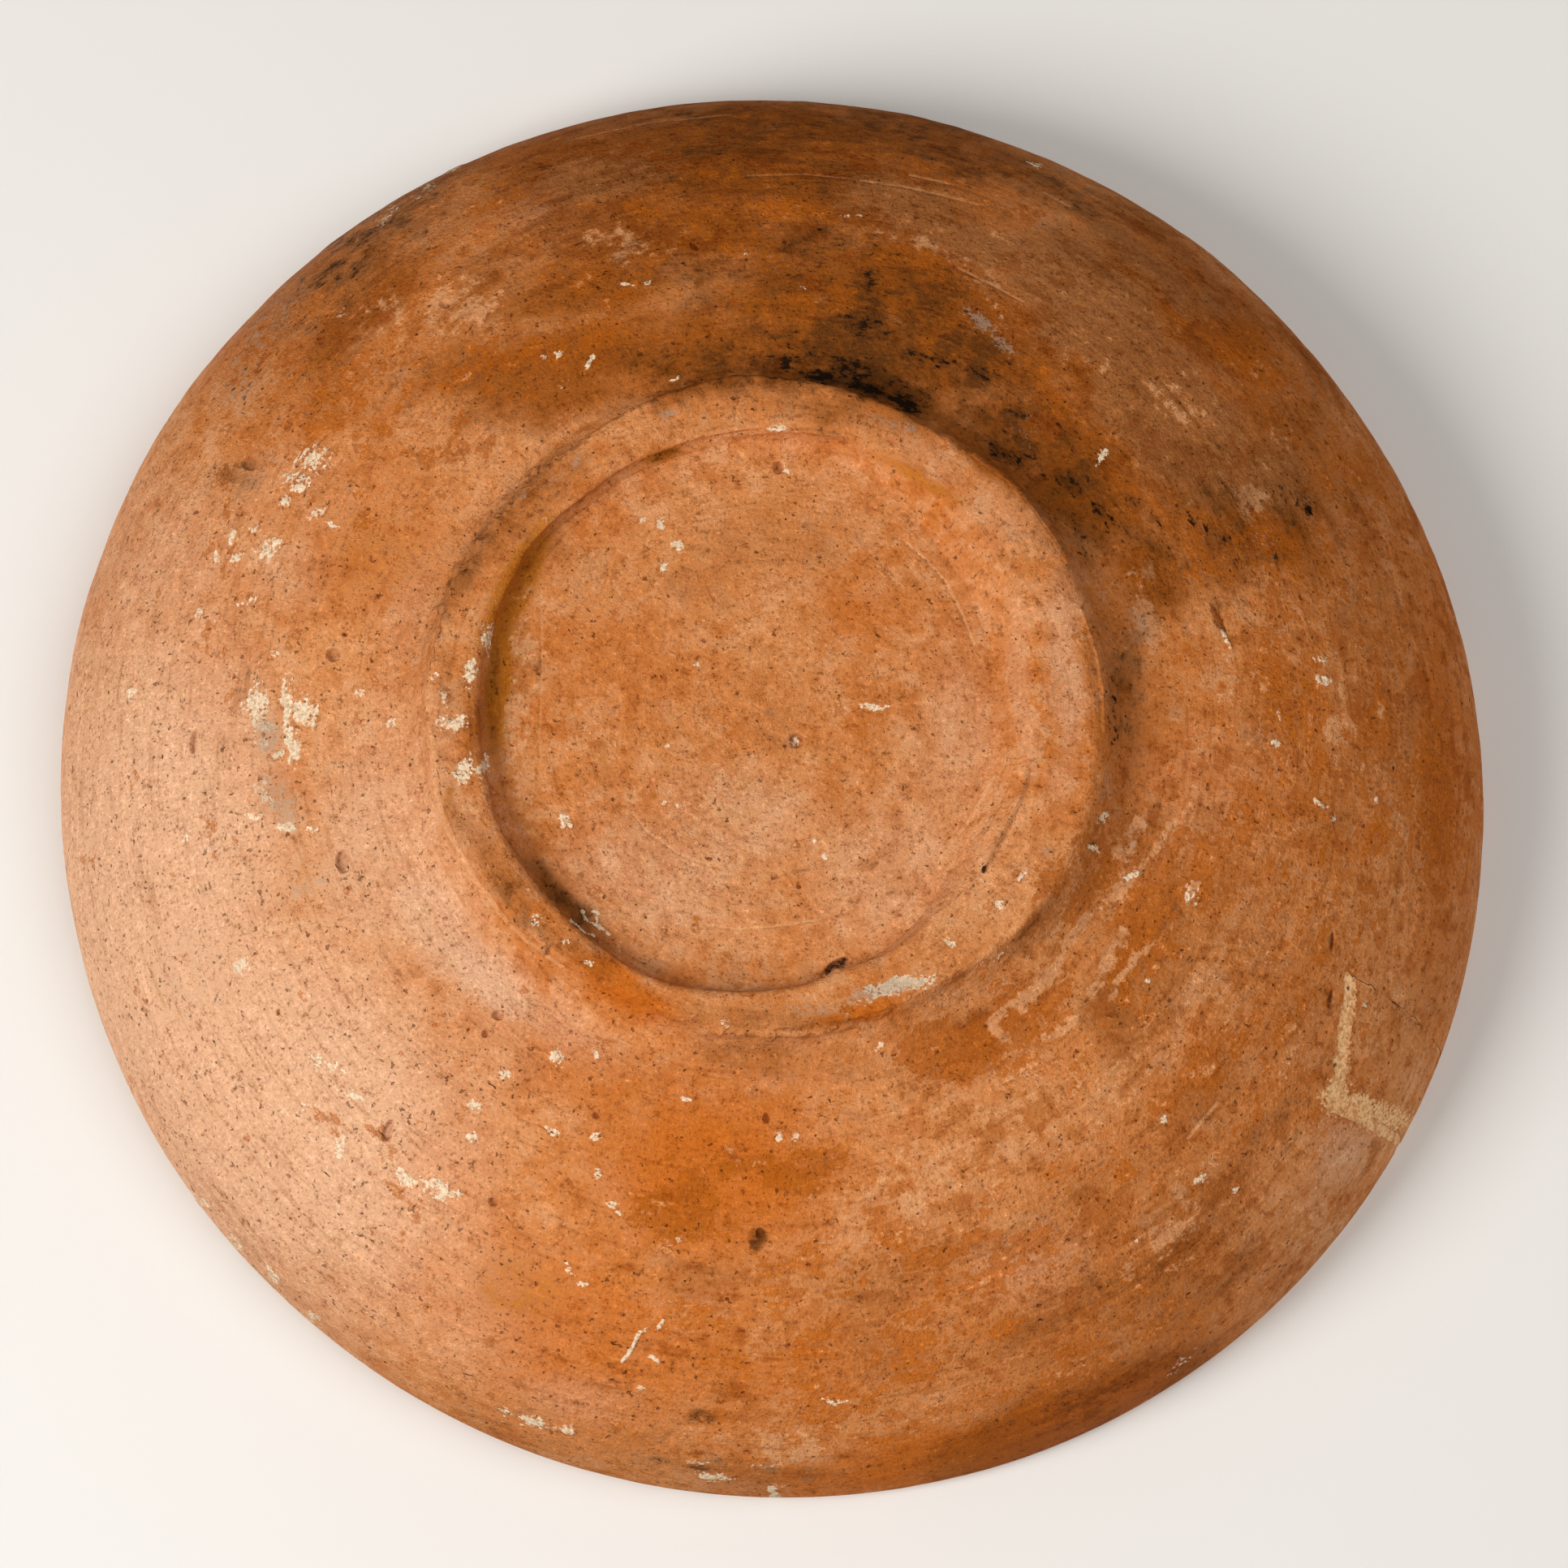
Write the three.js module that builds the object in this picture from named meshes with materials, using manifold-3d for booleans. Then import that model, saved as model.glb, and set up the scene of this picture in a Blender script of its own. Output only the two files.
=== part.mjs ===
// A hand-made terracotta plate on a foot ring, with one mended break in its rim.
// Millimetres, +Z up. The plate stands on its foot, and the origin is the middle of the standing face.
// Seen from below with +X to the right, +Y points down.
import * as THREE from "three";
import { mergeVertices } from "three/addons/utils/BufferGeometryUtils.js";
import Module from "manifold-3d";

const wasm = await Module();
wasm.setup();

// The dish: a flat base, a wall that curves up to a round lip, and a flat floor inside
const RIM_DIAMETER = 220;
const HEIGHT = 50;
const LIP_THICKNESS = 4.8;
const FLOOR_THICKNESS = 6;
const FLOOR_DIAMETER = 96;
const OUT_OF_ROUND = 2.4; // the rim's long diameter less its mean diameter
const LONG_DIAMETER_ANGLE = 57.5; // degrees from +X towards +Y

// The foot ring and the slip that holds it
const FOOT_DIAMETER = 99;
const FOOT_WIDTH = 7.4;
const FOOT_HEIGHT = 6.6;
const FOOT_FLARE = 1.7; // how far the ring spreads outwards where it meets the dish
const FOOT_TOE = 0.7; // how far it spreads inwards there
const FLARE_HEIGHT = 1.5;
const FOOT_EDGE_RADIUS = 1.3;
const SLIP_THICKNESS = 0.4;
const SLIP_SETBACK = 0.6; // how far the slip stays inside the ring's edges

// The mended break: depths in from the rim, angles in degrees from +X towards +Y
const CRACK_ANGLE = 22.5;
const CRACK_DEPTH = 15.7;
const BREAK_ANGLE_INSIDE = 32.6;
const BREAK_ANGLE_AT_RIM = 29.8;
const BREAK_DEPTH = 9.8;
const FILL_WIDTH = 1.5;
const CLEARANCE = 0.3; // between the broken edges and what fills them

// Fineness of the round shapes
const TURNS = 64;
const STEPS_PER_CURVE = 5;
const STEPS_PER_EDGE = 2;
const WELD = 1e-4;

const rimRadius = RIM_DIAMETER / 2;
const baseZ = FOOT_HEIGHT + SLIP_THICKNESS;
const footRadius = FOOT_DIAMETER / 2;
const footInnerRadius = footRadius - FOOT_WIDTH;
const baseRadius = footRadius + FOOT_FLARE;
const lipRadius = LIP_THICKNESS / 2;
const shoulderZ = HEIGHT - lipRadius;
const airAround = LIP_THICKNESS; // how far the cuts run out past the plate

// The plate sagged a little out of round before it was fired, and all of its pieces with it.
const longAxis = THREE.MathUtils.degToRad(LONG_DIAMETER_ANGLE);
const stretch = OUT_OF_ROUND / RIM_DIAMETER;
const sagged = new THREE.Matrix4()
  .makeRotationZ(longAxis)
  .multiply(new THREE.Matrix4().makeScale(1 + stretch, 1 - stretch, 1))
  .multiply(new THREE.Matrix4().makeRotationZ(-longAxis));

// Turns a profile of (radius, height) points about +Z.
function turned(points) {
  return new THREE.LatheGeometry(points, TURNS).rotateX(Math.PI / 2);
}

function solidOf(geometry) {
  const bare = geometry.clone();
  bare.deleteAttribute("normal");
  bare.deleteAttribute("uv");
  const merged = mergeVertices(bare, WELD);
  return new wasm.Manifold(
    new wasm.Mesh({
      numProp: 3,
      vertProperties: merged.getAttribute("position").array,
      triVerts: new Uint32Array(merged.index.array),
    }),
  );
}

function geometryOf(solid) {
  const mesh = solid.getMesh();
  const geometry = new THREE.BufferGeometry();
  geometry.setAttribute("position", new THREE.BufferAttribute(mesh.vertProperties, 3));
  geometry.setIndex(new THREE.BufferAttribute(mesh.triVerts, 1));
  return geometry;
}

// The whole thrown body, before the break.
function dishSolid() {
  const mouthRadius = rimRadius - LIP_THICKNESS;
  const floorRadius = FLOOR_DIAMETER / 2;
  const floorZ = baseZ + FLOOR_THICKNESS;
  const profile = new THREE.Path();
  profile.moveTo(0, baseZ);
  profile.lineTo(baseRadius, baseZ);
  profile.absellipse(
    baseRadius,
    shoulderZ,
    rimRadius - baseRadius,
    shoulderZ - baseZ,
    -Math.PI / 2,
    0,
    false,
  );
  profile.absarc(rimRadius - lipRadius, shoulderZ, lipRadius, 0, Math.PI, false);
  profile.absellipse(
    floorRadius,
    shoulderZ,
    mouthRadius - floorRadius,
    shoulderZ - floorZ,
    0,
    -Math.PI / 2,
    true,
  );
  profile.lineTo(0, floorZ);
  return solidOf(turned(profile.getPoints(STEPS_PER_CURVE)));
}

// The ring stands on its flat lower face, which has rounded edges, and spreads where it meets the dish.
function footRingGeometry() {
  const toeRadius = footInnerRadius - FOOT_TOE;
  const inFlat = footInnerRadius + FOOT_EDGE_RADIUS;
  const outFlat = footRadius - FOOT_EDGE_RADIUS;
  const flareZ = FOOT_HEIGHT - FLARE_HEIGHT;
  const section = new THREE.Path();
  section.moveTo(inFlat, 0);
  section.lineTo(outFlat, 0);
  section.absarc(outFlat, FOOT_EDGE_RADIUS, FOOT_EDGE_RADIUS, -Math.PI / 2, 0, false);
  section.lineTo(footRadius, flareZ);
  section.lineTo(baseRadius, FOOT_HEIGHT);
  section.lineTo(toeRadius, FOOT_HEIGHT);
  section.lineTo(footInnerRadius, flareZ);
  section.lineTo(footInnerRadius, FOOT_EDGE_RADIUS);
  section.absarc(inFlat, FOOT_EDGE_RADIUS, FOOT_EDGE_RADIUS, Math.PI, 1.5 * Math.PI, false);
  return turned(section.getPoints(STEPS_PER_EDGE));
}

function slipGeometry() {
  const inner = footInnerRadius - FOOT_TOE + SLIP_SETBACK;
  const outer = baseRadius - SLIP_SETBACK;
  return turned([
    new THREE.Vector2(inner, FOOT_HEIGHT),
    new THREE.Vector2(outer, FOOT_HEIGHT),
    new THREE.Vector2(outer, baseZ),
    new THREE.Vector2(inner, baseZ),
    new THREE.Vector2(inner, FOOT_HEIGHT),
  ]);
}

// The sherd's corners in plan: inside at the crack, inside at the break, then both past the rim.
function sherdCorners() {
  const at = (radius, degrees) => {
    const angle = THREE.MathUtils.degToRad(degrees);
    return new THREE.Vector2(radius * Math.cos(angle), radius * Math.sin(angle));
  };
  return [
    at(rimRadius - CRACK_DEPTH, CRACK_ANGLE),
    at(rimRadius - BREAK_DEPTH, BREAK_ANGLE_INSIDE),
    at(rimRadius + airAround, BREAK_ANGLE_AT_RIM),
    at(rimRadius + airAround, CRACK_ANGLE),
  ];
}

// Moves each side of a convex outline out by its own distance. Side i runs from corner i to the next.
function grown(corners, distances) {
  const count = corners.length;
  const middle = new THREE.Vector2();
  corners.forEach((corner) => middle.addScaledVector(corner, 1 / count));
  const sides = corners.map((corner, i) => {
    const along = corners[(i + 1) % count].clone().sub(corner).normalize();
    const out = new THREE.Vector2(along.y, -along.x);
    if (out.dot(corner.clone().sub(middle)) < 0) out.negate();
    return { from: corner.clone().addScaledVector(out, distances[i]), along };
  });
  return sides.map((side, i) => {
    const before = sides[(i + count - 1) % count];
    const between = side.from.clone().sub(before.from);
    const reach = between.cross(side.along) / before.along.cross(side.along);
    return before.from.clone().addScaledVector(before.along, reach);
  });
}

// An upright prism over a plan outline, taller than the plate.
function prism(corners) {
  const depth = HEIGHT + 2 * airAround;
  const block = new THREE.ExtrudeGeometry(new THREE.Shape(corners), { depth, bevelEnabled: false });
  return solidOf(block.translate(0, 0, -airAround));
}

const whole = dishSolid();
const sherdPlan = sherdCorners();
const sherdEdge = CLEARANCE;
const fillEdge = CLEARANCE + FILL_WIDTH;
const dishEdge = fillEdge + CLEARANCE;
const cutAway = prism(grown(sherdPlan, [dishEdge, dishEdge, airAround, CLEARANCE]));
const fillOutside = prism(grown(sherdPlan, [fillEdge, fillEdge, airAround, 0]));
const fillInside = prism(grown(sherdPlan, [sherdEdge, sherdEdge, 2 * airAround, airAround]));

const shapes = {
  dish: geometryOf(whole.subtract(cutAway)),
  foot_ring: footRingGeometry(),
  luting_slip: slipGeometry(),
  rim_sherd: geometryOf(whole.intersect(prism(sherdPlan))),
  joint_fill: geometryOf(whole.intersect(fillOutside.subtract(fillInside))),
};

const colours = {
  dish: 0xc07a48,
  foot_ring: 0xc98758,
  luting_slip: 0x8a4a20,
  rim_sherd: 0xb5733f,
  joint_fill: 0xdcc090,
};

const plate = new THREE.Group();
for (const [name, geometry] of Object.entries(shapes)) {
  const clay = new THREE.MeshStandardMaterial({ color: colours[name], roughness: 0.9, metalness: 0 });
  const mesh = new THREE.Mesh(geometry.applyMatrix4(sagged), clay);
  mesh.name = name;
  plate.add(mesh);
}

export default plate;
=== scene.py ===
"""Looks of a hand-made terracotta plate: thrown dish, applied foot ring and one mended break in its rim."""
import math
from typing import NamedTuple

import bmesh
import bpy
import numpy as np
from mathutils import Matrix, Vector


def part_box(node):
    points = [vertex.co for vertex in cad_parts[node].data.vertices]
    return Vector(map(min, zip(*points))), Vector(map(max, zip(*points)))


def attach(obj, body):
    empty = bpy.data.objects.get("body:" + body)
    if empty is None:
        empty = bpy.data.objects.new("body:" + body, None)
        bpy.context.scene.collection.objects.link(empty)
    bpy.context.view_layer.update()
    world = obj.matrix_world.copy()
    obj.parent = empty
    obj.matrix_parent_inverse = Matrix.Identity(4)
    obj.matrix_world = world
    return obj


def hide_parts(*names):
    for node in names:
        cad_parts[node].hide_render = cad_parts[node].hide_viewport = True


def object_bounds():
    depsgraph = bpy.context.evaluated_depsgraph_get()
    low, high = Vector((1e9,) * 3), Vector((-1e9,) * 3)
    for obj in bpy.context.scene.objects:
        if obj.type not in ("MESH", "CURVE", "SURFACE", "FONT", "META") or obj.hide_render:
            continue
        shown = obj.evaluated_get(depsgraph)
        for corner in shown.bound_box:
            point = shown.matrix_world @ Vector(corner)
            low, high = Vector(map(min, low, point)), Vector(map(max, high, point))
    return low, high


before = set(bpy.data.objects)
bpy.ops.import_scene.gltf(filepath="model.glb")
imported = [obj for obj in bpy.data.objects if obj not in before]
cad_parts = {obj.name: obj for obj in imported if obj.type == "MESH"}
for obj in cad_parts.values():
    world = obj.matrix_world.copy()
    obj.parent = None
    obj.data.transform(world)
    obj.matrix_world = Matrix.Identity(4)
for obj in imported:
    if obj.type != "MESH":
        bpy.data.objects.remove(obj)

CAD_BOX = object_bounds()
MM = 0.001

# The photograph's camera looks up at the underside, a little tilted, from about a metre away
PHOTO_SIZE = 1932
CAMERA_TILT = math.radians(15)
CAMERA_DISTANCE = 1.0
PIXELS_PER_METRE = 8165  # at the middle of the plate
MIDDLE_U = 951
MIDDLE_V = 920.5
SENSOR_WIDTH = 36.0

# The dish
DISH_LOW, DISH_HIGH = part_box("dish")
FOOT_LOW, FOOT_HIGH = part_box("foot_ring")
HEIGHT = DISH_HIGH.z
BASE_Z = DISH_LOW.z
RIM_RADIUS = (DISH_HIGH.x - DISH_LOW.x + DISH_HIGH.y - DISH_LOW.y) / 4
BASE_RADIUS = (FOOT_HIGH.x - FOOT_LOW.x + FOOT_HIGH.y - FOOT_LOW.y) / 4
LIP_THICKNESS = 4.8 * MM
FLOOR_THICKNESS = 6.0 * MM
FLOOR_RADIUS = 48.0 * MM
LONG_AXIS = math.radians(57.5)
FLOOR_BULGE = 2.4 * MM  # how far the base hangs down inside the foot ring
BULGE_EDGE = 43 * MM  # the radius where that starts to fade out
BULGE_END = 48 * MM
STRETCH = 2.4 / 220  # the rim's long radius is more than its mean radius by this share
SHOULDER_Z = HEIGHT - LIP_THICKNESS / 2
MOUTH_RADIUS = RIM_RADIUS - LIP_THICKNESS
FLOOR_Z = BASE_Z + FLOOR_THICKNESS
MIDDLE = np.array((0.0, 0.0, HEIGHT / 2))

# How finely the surfaces are made
DISH_TURNS = 1200
FLAT_STEPS = 200
CURVE_STEPS = 400
LIP_STEPS = 120
OUTSIDE_STEP = 0.5 * MM
INSIDE_STEP = 1.1 * MM
RING_TURNS = 960
FINE_EDGE = 0.3 * MM  # longer edges are divided where small marks lie
FINE_CUTS = 2
MARKED_FROM = 0.02
SHARP_ANGLE = math.radians(50)

# Small holes where grit has dropped out, in shares of the rim's radius squared and in millimetres
PIT_COUNT = 520
PIT_SEED = 7
PIT_SPREAD = (0.01, 0.97)
PIT_REACH = (0.5, 1.0)
PIT_SINK = (0.12, 0.45)
PITS_BELOW = 0.6  # the share of them that is on the underside

# The mended break: depths in from the rim, angles from +X towards +Y
CRACK_ANGLE = math.radians(22.5)
CRACK_DEPTH = 15.7 * MM
BREAK_ANGLE_INSIDE = math.radians(32.6)
BREAK_ANGLE_AT_RIM = math.radians(28.8)
BREAK_DEPTH = 9.8 * MM
FILL_WIDTH = 1.75 * MM
FILL_SUNK = 0.10 * MM  # how far the fill lies below the clay beside it
CRACK_WIDTH = 0.05 * MM
PAST_RIM = 6.0 * MM
CUTTER_MARGIN = 10 * MM
FRACTURE_WANDER = 0.3 * MM
FRACTURE_STEP = 0.35 * MM
FRACTURE_SIZE = 2.4 * MM
SHERD_SEED = 101
FILL_SEED = 111

# The foot ring's edges as they show in the photograph, in its pixels
RING_OUTER_EDGE = (
    (1358, 819), (1364, 889), (1360, 960), (1337, 1040), (1304, 1106), (1247, 1169), (1186, 1208),
    (1125, 1241), (1055, 1265), (973, 1281), (891, 1277), (809, 1250), (732, 1212), (674, 1177),
    (615, 1118), (574, 1060), (541, 989), (525, 919), (521, 854), (531, 784), (556, 725), (591, 661),
    (644, 596), (703, 549), (773, 499), (844, 472), (926, 456), (1008, 468), (1067, 483), (1131, 514),
    (1204, 558), (1266, 608), (1310, 660), (1342, 733),
)
RING_INNER_EDGE = (
    (1284, 831), (1281, 889), (1269, 948), (1249, 1007), (1219, 1059), (1184, 1106), (1143, 1147),
    (1102, 1171), (1043, 1194), (985, 1215), (914, 1224), (844, 1218), (785, 1197), (732, 1162),
    (685, 1118), (650, 1077), (620, 1030), (602, 977), (593, 919), (591, 854), (599, 795), (619, 737),
    (646, 684), (690, 636), (726, 608), (767, 578), (809, 561), (861, 543), (926, 529), (985, 531),
    (1061, 543), (1119, 573), (1172, 614), (1213, 661), (1249, 713), (1272, 772),
)

# How the ring is formed, in millimetres by the direction in degrees from +X towards +Y
# How far its inner face slopes in to the floor as a cove; less than nothing is a notch under its edge
COVE_BY_DIRECTION = {
    0: 7.0, 20: 6.6, 40: 4.6, 55: 2.6, 70: 1.0, 90: 0.5, 110: 0.0, 135: -0.8, 160: 0.4, 180: 1.5,
    200: 0.8, 220: -0.8, 245: -0.9, 258: -0.6, 270: 0.2, 282: 1.4, 296: 3.6, 312: 6.0, 340: 7.0,
}
# How far the smeared joint reaches out on the dish
APRON_BY_DIRECTION = {
    0: 6.0, 25: 8.0, 45: 9.0, 70: 7.0, 90: 3.5, 115: 4.0, 135: 7.0, 165: 7.0, 185: 4.5, 205: 2.4,
    225: 1.8, 270: 0.8, 300: 3.0, 330: 5.0,
}
# How far above the standing face the ring's outer edge ends and the smeared joint starts
STEP_BY_DIRECTION = {
    0: 1.9, 25: 2.1, 45: 2.3, 70: 2.8, 90: 4.2, 115: 3.4, 135: 2.2, 165: 2.3, 185: 3.0, 205: 4.0,
    225: 4.6, 270: 5.6, 300: 4.0, 330: 2.4,
}
# How far the rounded shoulder reaches in over the crest
SHOULDER_BY_DIRECTION = {
    0: 3.0, 20: 2.2, 45: 1.0, 70: 1.2, 90: 1.5, 115: 1.0, 135: 0.6, 180: 0.7, 225: 1.5, 270: 1.2,
    295: 1.4, 320: 1.8,
}
RING_OUTER_Z = 2.0 * MM  # the heights of the edges that the photograph shows
RING_INNER_Z = 1.0 * MM
RING_RADIUS = 50 * MM  # about the middle of the ring, where its unevenness is read
INNER_FILLET = 0.6 * MM
STEEP_COVE = 0.8 * MM  # up to this cove the inner face is steep, and from the next one on it is sloped
GENTLE_COVE = 2.6 * MM
CREST_LEAST = 0.4 * MM
RING_BURIED = 0.3 * MM
SLIP_BURIED = 0.2 * MM


def lattice(x, y, z, seed):
    """A fixed random number from -1 to 1 for each whole-number cell."""
    mixed = x * np.uint32(374761393) + y * np.uint32(668265263) + z * np.uint32(1440662683)
    mixed += np.uint32(seed * 974634777 % 2 ** 32)
    mixed = (mixed ^ (mixed >> np.uint32(13))) * np.uint32(1274126177)
    mixed ^= mixed >> np.uint32(16)
    return mixed.astype(np.float32) / np.float32(2 ** 31) - 1


def noise(points, size, seed):
    """Smooth noise from -1 to 1 with lumps of this size."""
    spot = points / size
    floor = np.floor(spot)
    part = (spot - floor).astype(np.float32)
    part = part * part * (3 - 2 * part)
    low = floor.astype(np.int64).astype(np.uint32)
    x, y, z = low[:, 0], low[:, 1], low[:, 2]
    one = np.uint32(1)
    px, py, pz = part[:, 0], part[:, 1], part[:, 2]

    def along_x(y_cell, z_cell):
        first = lattice(x, y_cell, z_cell, seed)
        return first + (lattice(x + one, y_cell, z_cell, seed) - first) * px

    def along_y(z_cell):
        first = along_x(y, z_cell)
        return first + (along_x(y + one, z_cell) - first) * py

    first = along_y(z)
    return (first + (along_y(z + one) - first) * pz).astype(float)


def rough(points, size, seed, octaves=3, fine=0.5):
    """Noise with finer noise added on top, each layer weaker than the last by the same share."""
    total = np.zeros(len(points))
    for step in range(octaves):
        total += noise(points, size / 2.1 ** step, seed + step) * fine ** step
    return total


def smooth(value, low, high):
    """Rises smoothly from 0 at low to 1 at high."""
    t = np.clip((value - low) / (high - low), 0, 1)
    return t * t * (3 - 2 * t)


class Lumps(NamedTuple):
    """One kind of unevenness: the height and size of its lumps, its seed and its finer layers."""
    height: float
    size: float
    seed: int
    layers: int = 3
    fine: float = 0.5

    def at(self, points):
        return self.height * rough(points, self.size, self.seed, self.layers, self.fine)


# Unevenness of the dish, in millimetres
SAGS = Lumps(0.34, 46 * MM, 11, 2)
DENTS = Lumps(0.13, 12 * MM, 21)
DENTS_INSIDE = 0.05 / 0.13  # the share of the dents that is left on the smoother inside
GRIT = Lumps(0.05, 3 * MM, 31)
TURNING = Lumps(0.10, 5.0 * MM, 41, 1)
TURNING_FINE = Lumps(0.07, 1.5 * MM, 43, 1)
TURNING_LENGTH = 12 * MM  # what one radian round the wheel counts as
TURNING_ON_WALL = 0.8
TURNING_ON_BASE = 1.2
THROWING = Lumps(0.22, 6.5 * MM, 45, 1)
THROWING_LENGTH = 6 * MM
LIP_DEPTH = 6 * MM
LIP_SMOOTHED = 0.6  # the lip has lost this share of the unevenness

# Unevenness of the ring and the slip, in millimetres, and of the joint's reach and step, in shares of them
RING_LUMPS = Lumps(0.26, 11 * MM, 51)
RING_GRIT = Lumps(0.10, 3.2 * MM, 61)
RING_TURNING = Lumps(0.12, 2.4 * MM, 65, 2)
RING_TURNING_LENGTH = 9 * MM
CREST_MEAN = 0.4
CREST = Lumps(0.45, 22 * MM, 71)
APRON_SHARE = Lumps(0.25, 14 * MM, 72, 1)
STEP_SHARE = Lumps(0.12, 9 * MM, 73, 1)
SLIP_SPREAD_LEAST = 1.2
SLIP_SPREAD_BY_APRON = 0.6
SLIP_SPREAD_MOST = 2.4
SLIP_SPREAD = Lumps(0.9, 16 * MM, 81)
SLIP_RISE_MEAN = 0.55
SLIP_RISE = Lumps(0.35, 20 * MM, 84, 2)
SLIP_INSIDE_MEAN = 0.8
SLIP_INSIDE = Lumps(0.5, 12 * MM, 87)
SLIP_GRIT = Lumps(0.06, 3 * MM, 91, 2)

# Unevenness of the marks: how high or deep they are, in millimetres, and the grain on them
LIME_HEIGHT = 0.10
ROOTLET_HEIGHT = 0.16
RIDGE_HEIGHT = 0.22
PIT_DEPTH = 0.85
GROOVE_DEPTH = 0.4
SCRATCH_DEPTH = 0.12
CRUMB_HOLE_DEPTH = 0.4
CRUST_GRAIN = Lumps(0.8, 1.2 * MM, 301, 2)
CRUMBS = Lumps(0.42, 1.9 * MM, 305)
CRUMB_HOLES = Lumps(1, 1.4 * MM, 309, 2)

# Unevenness of the layers of colour, from -1 to 1, and how far it shifts their edges, in pixels
BROAD = Lumps(1, 30 * MM, 201, 4)
MID = Lumps(1, 8 * MM, 205, 4)
SMALL = Lumps(1, 2.6 * MM, 209, 3, 0.7)
BRUSHED = Lumps(1, 6.5 * MM, 213, 4)
BRUSHED_LENGTH = 40 * MM
DABBED = Lumps(1, 3.4 * MM, 217, 4, 0.72)
DABBED_LENGTH = 45 * MM
STREAKS = Lumps(1, 1.7 * MM, 223)
STREAK_LENGTH = 16 * MM
JAG_U = Lumps(9, 8 * MM, 231, 4, 0.62)
JAG_V = Lumps(9, 8 * MM, 241, 4, 0.62)
JAG_NEAR = 0.4  # the share of the shift that crisper marks get
JAG_LIME = 0.8
INSIDE_BLEND = 0.3 * MM
LIP_WORN_FROM = 4.5 * MM  # depths below the rim's top
LIP_WORN_TO = 0.8 * MM

# The camera's directions
CAMERA_BACK = np.array((0.0, math.sin(CAMERA_TILT), -math.cos(CAMERA_TILT)))
CAMERA_RIGHT = np.array((1.0, 0.0, 0.0))
CAMERA_DOWN = np.array((0.0, math.cos(CAMERA_TILT), math.sin(CAMERA_TILT)))


def pixels_of(points):
    """Where points of the plate show in the photograph."""
    away = points - MIDDLE
    depth = 1 - away @ CAMERA_BACK / CAMERA_DISTANCE
    u = MIDDLE_U + PIXELS_PER_METRE * (away @ CAMERA_RIGHT) / depth
    v = MIDDLE_V + PIXELS_PER_METRE * (away @ CAMERA_DOWN) / depth
    return u, v


def plan_of(pixel, z):
    """The point at this height that shows at a pixel of the photograph."""
    a = (pixel[0] - MIDDLE_U) / PIXELS_PER_METRE
    b = (pixel[1] - MIDDLE_V) / PIXELS_PER_METRE
    s, c = math.sin(CAMERA_TILT), math.cos(CAMERA_TILT)
    reach = (z - MIDDLE[2] + c * CAMERA_DISTANCE) / (b * s + c)
    return a * reach, b * reach * c + (CAMERA_DISTANCE - reach) * s


def stretched(x, y, along_by, across_by):
    """Scales a plan along and across the plate's long diameter."""
    c, s = math.cos(LONG_AXIS), math.sin(LONG_AXIS)
    along = (x * c + y * s) * along_by
    across = (y * c - x * s) * across_by
    return along * c - across * s, along * s + across * c


def sagged(x, y):
    """The plate sagged a little out of round before it was fired."""
    return stretched(x, y, 1 + STRETCH, 1 - STRETCH)


def unsagged(x, y):
    return stretched(x, y, 1 / (1 + STRETCH), 1 / (1 - STRETCH))


def round_the_ring(edge, z, angles, blur=9):
    """Radius at each angle of an edge given by pixels, lightly smoothed."""
    spots = [unsagged(*plan_of(pixel, z)) for pixel in edge]
    turn = np.array([math.atan2(y, x) for x, y in spots])
    radius = np.array([math.hypot(x, y) for x, y in spots])
    order = np.argsort(turn)
    found = np.interp(angles, turn[order], radius[order], period=math.tau)
    window = np.hanning(2 * blur + 1)
    window /= window.sum()
    padded = np.concatenate((found[-blur:], found, found[:blur]))
    return np.convolve(padded, window, "valid")


def by_direction(table, angles):
    """Values given at some directions in degrees, filled in smoothly between them."""
    turns = np.radians(list(table))
    return np.interp(angles, turns, list(table.values()), period=math.tau)


def mesh_of(name, points, faces):
    mesh = bpy.data.meshes.new(name)
    mesh.from_pydata(points, [], faces)
    mesh.update()
    return mesh


def object_of(name, data):
    made = bpy.data.objects.new(name, data)
    bpy.context.scene.collection.objects.link(made)
    return made


def points_of(mesh):
    points = np.empty(len(mesh.vertices) * 3, np.float32)
    mesh.vertices.foreach_get("co", points)
    return points.reshape(-1, 3).astype(float)


def normals_of(mesh):
    normals = np.empty(len(mesh.vertices) * 3, np.float32)
    mesh.vertex_normals.foreach_get("vector", normals)
    return normals.reshape(-1, 3)


def move_points(mesh, points):
    mesh.vertices.foreach_set("co", points.astype(np.float32).ravel())
    mesh.update()


def grid_faces(rows, columns, closed_rows):
    """Four-cornered faces over a grid that is closed along its columns."""
    row = np.arange(rows if closed_rows else rows - 1)[:, None] * columns
    column = np.arange(columns)[None, :]
    after = (column + 1) % columns
    above = (row + columns) % (rows * columns)
    corners = (row + column, row + after, above + after, above + column)
    return np.stack(corners, axis=-1).reshape(-1, 4)


def outside_z(radius):
    """Height of the dish's outer face over a radius."""
    share = np.clip((radius - BASE_RADIUS) / (RIM_RADIUS - BASE_RADIUS), 0, 1)
    return SHOULDER_Z - (SHOULDER_Z - BASE_Z) * np.sqrt(1 - share ** 2)


def inside_z(radius):
    """Height of the dish's inner face over a radius."""
    share = np.clip((radius - FLOOR_RADIUS) / (MOUTH_RADIUS - FLOOR_RADIUS), 0, 1)
    return SHOULDER_Z - (SHOULDER_Z - FLOOR_Z) * np.sqrt(1 - share ** 2)


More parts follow.
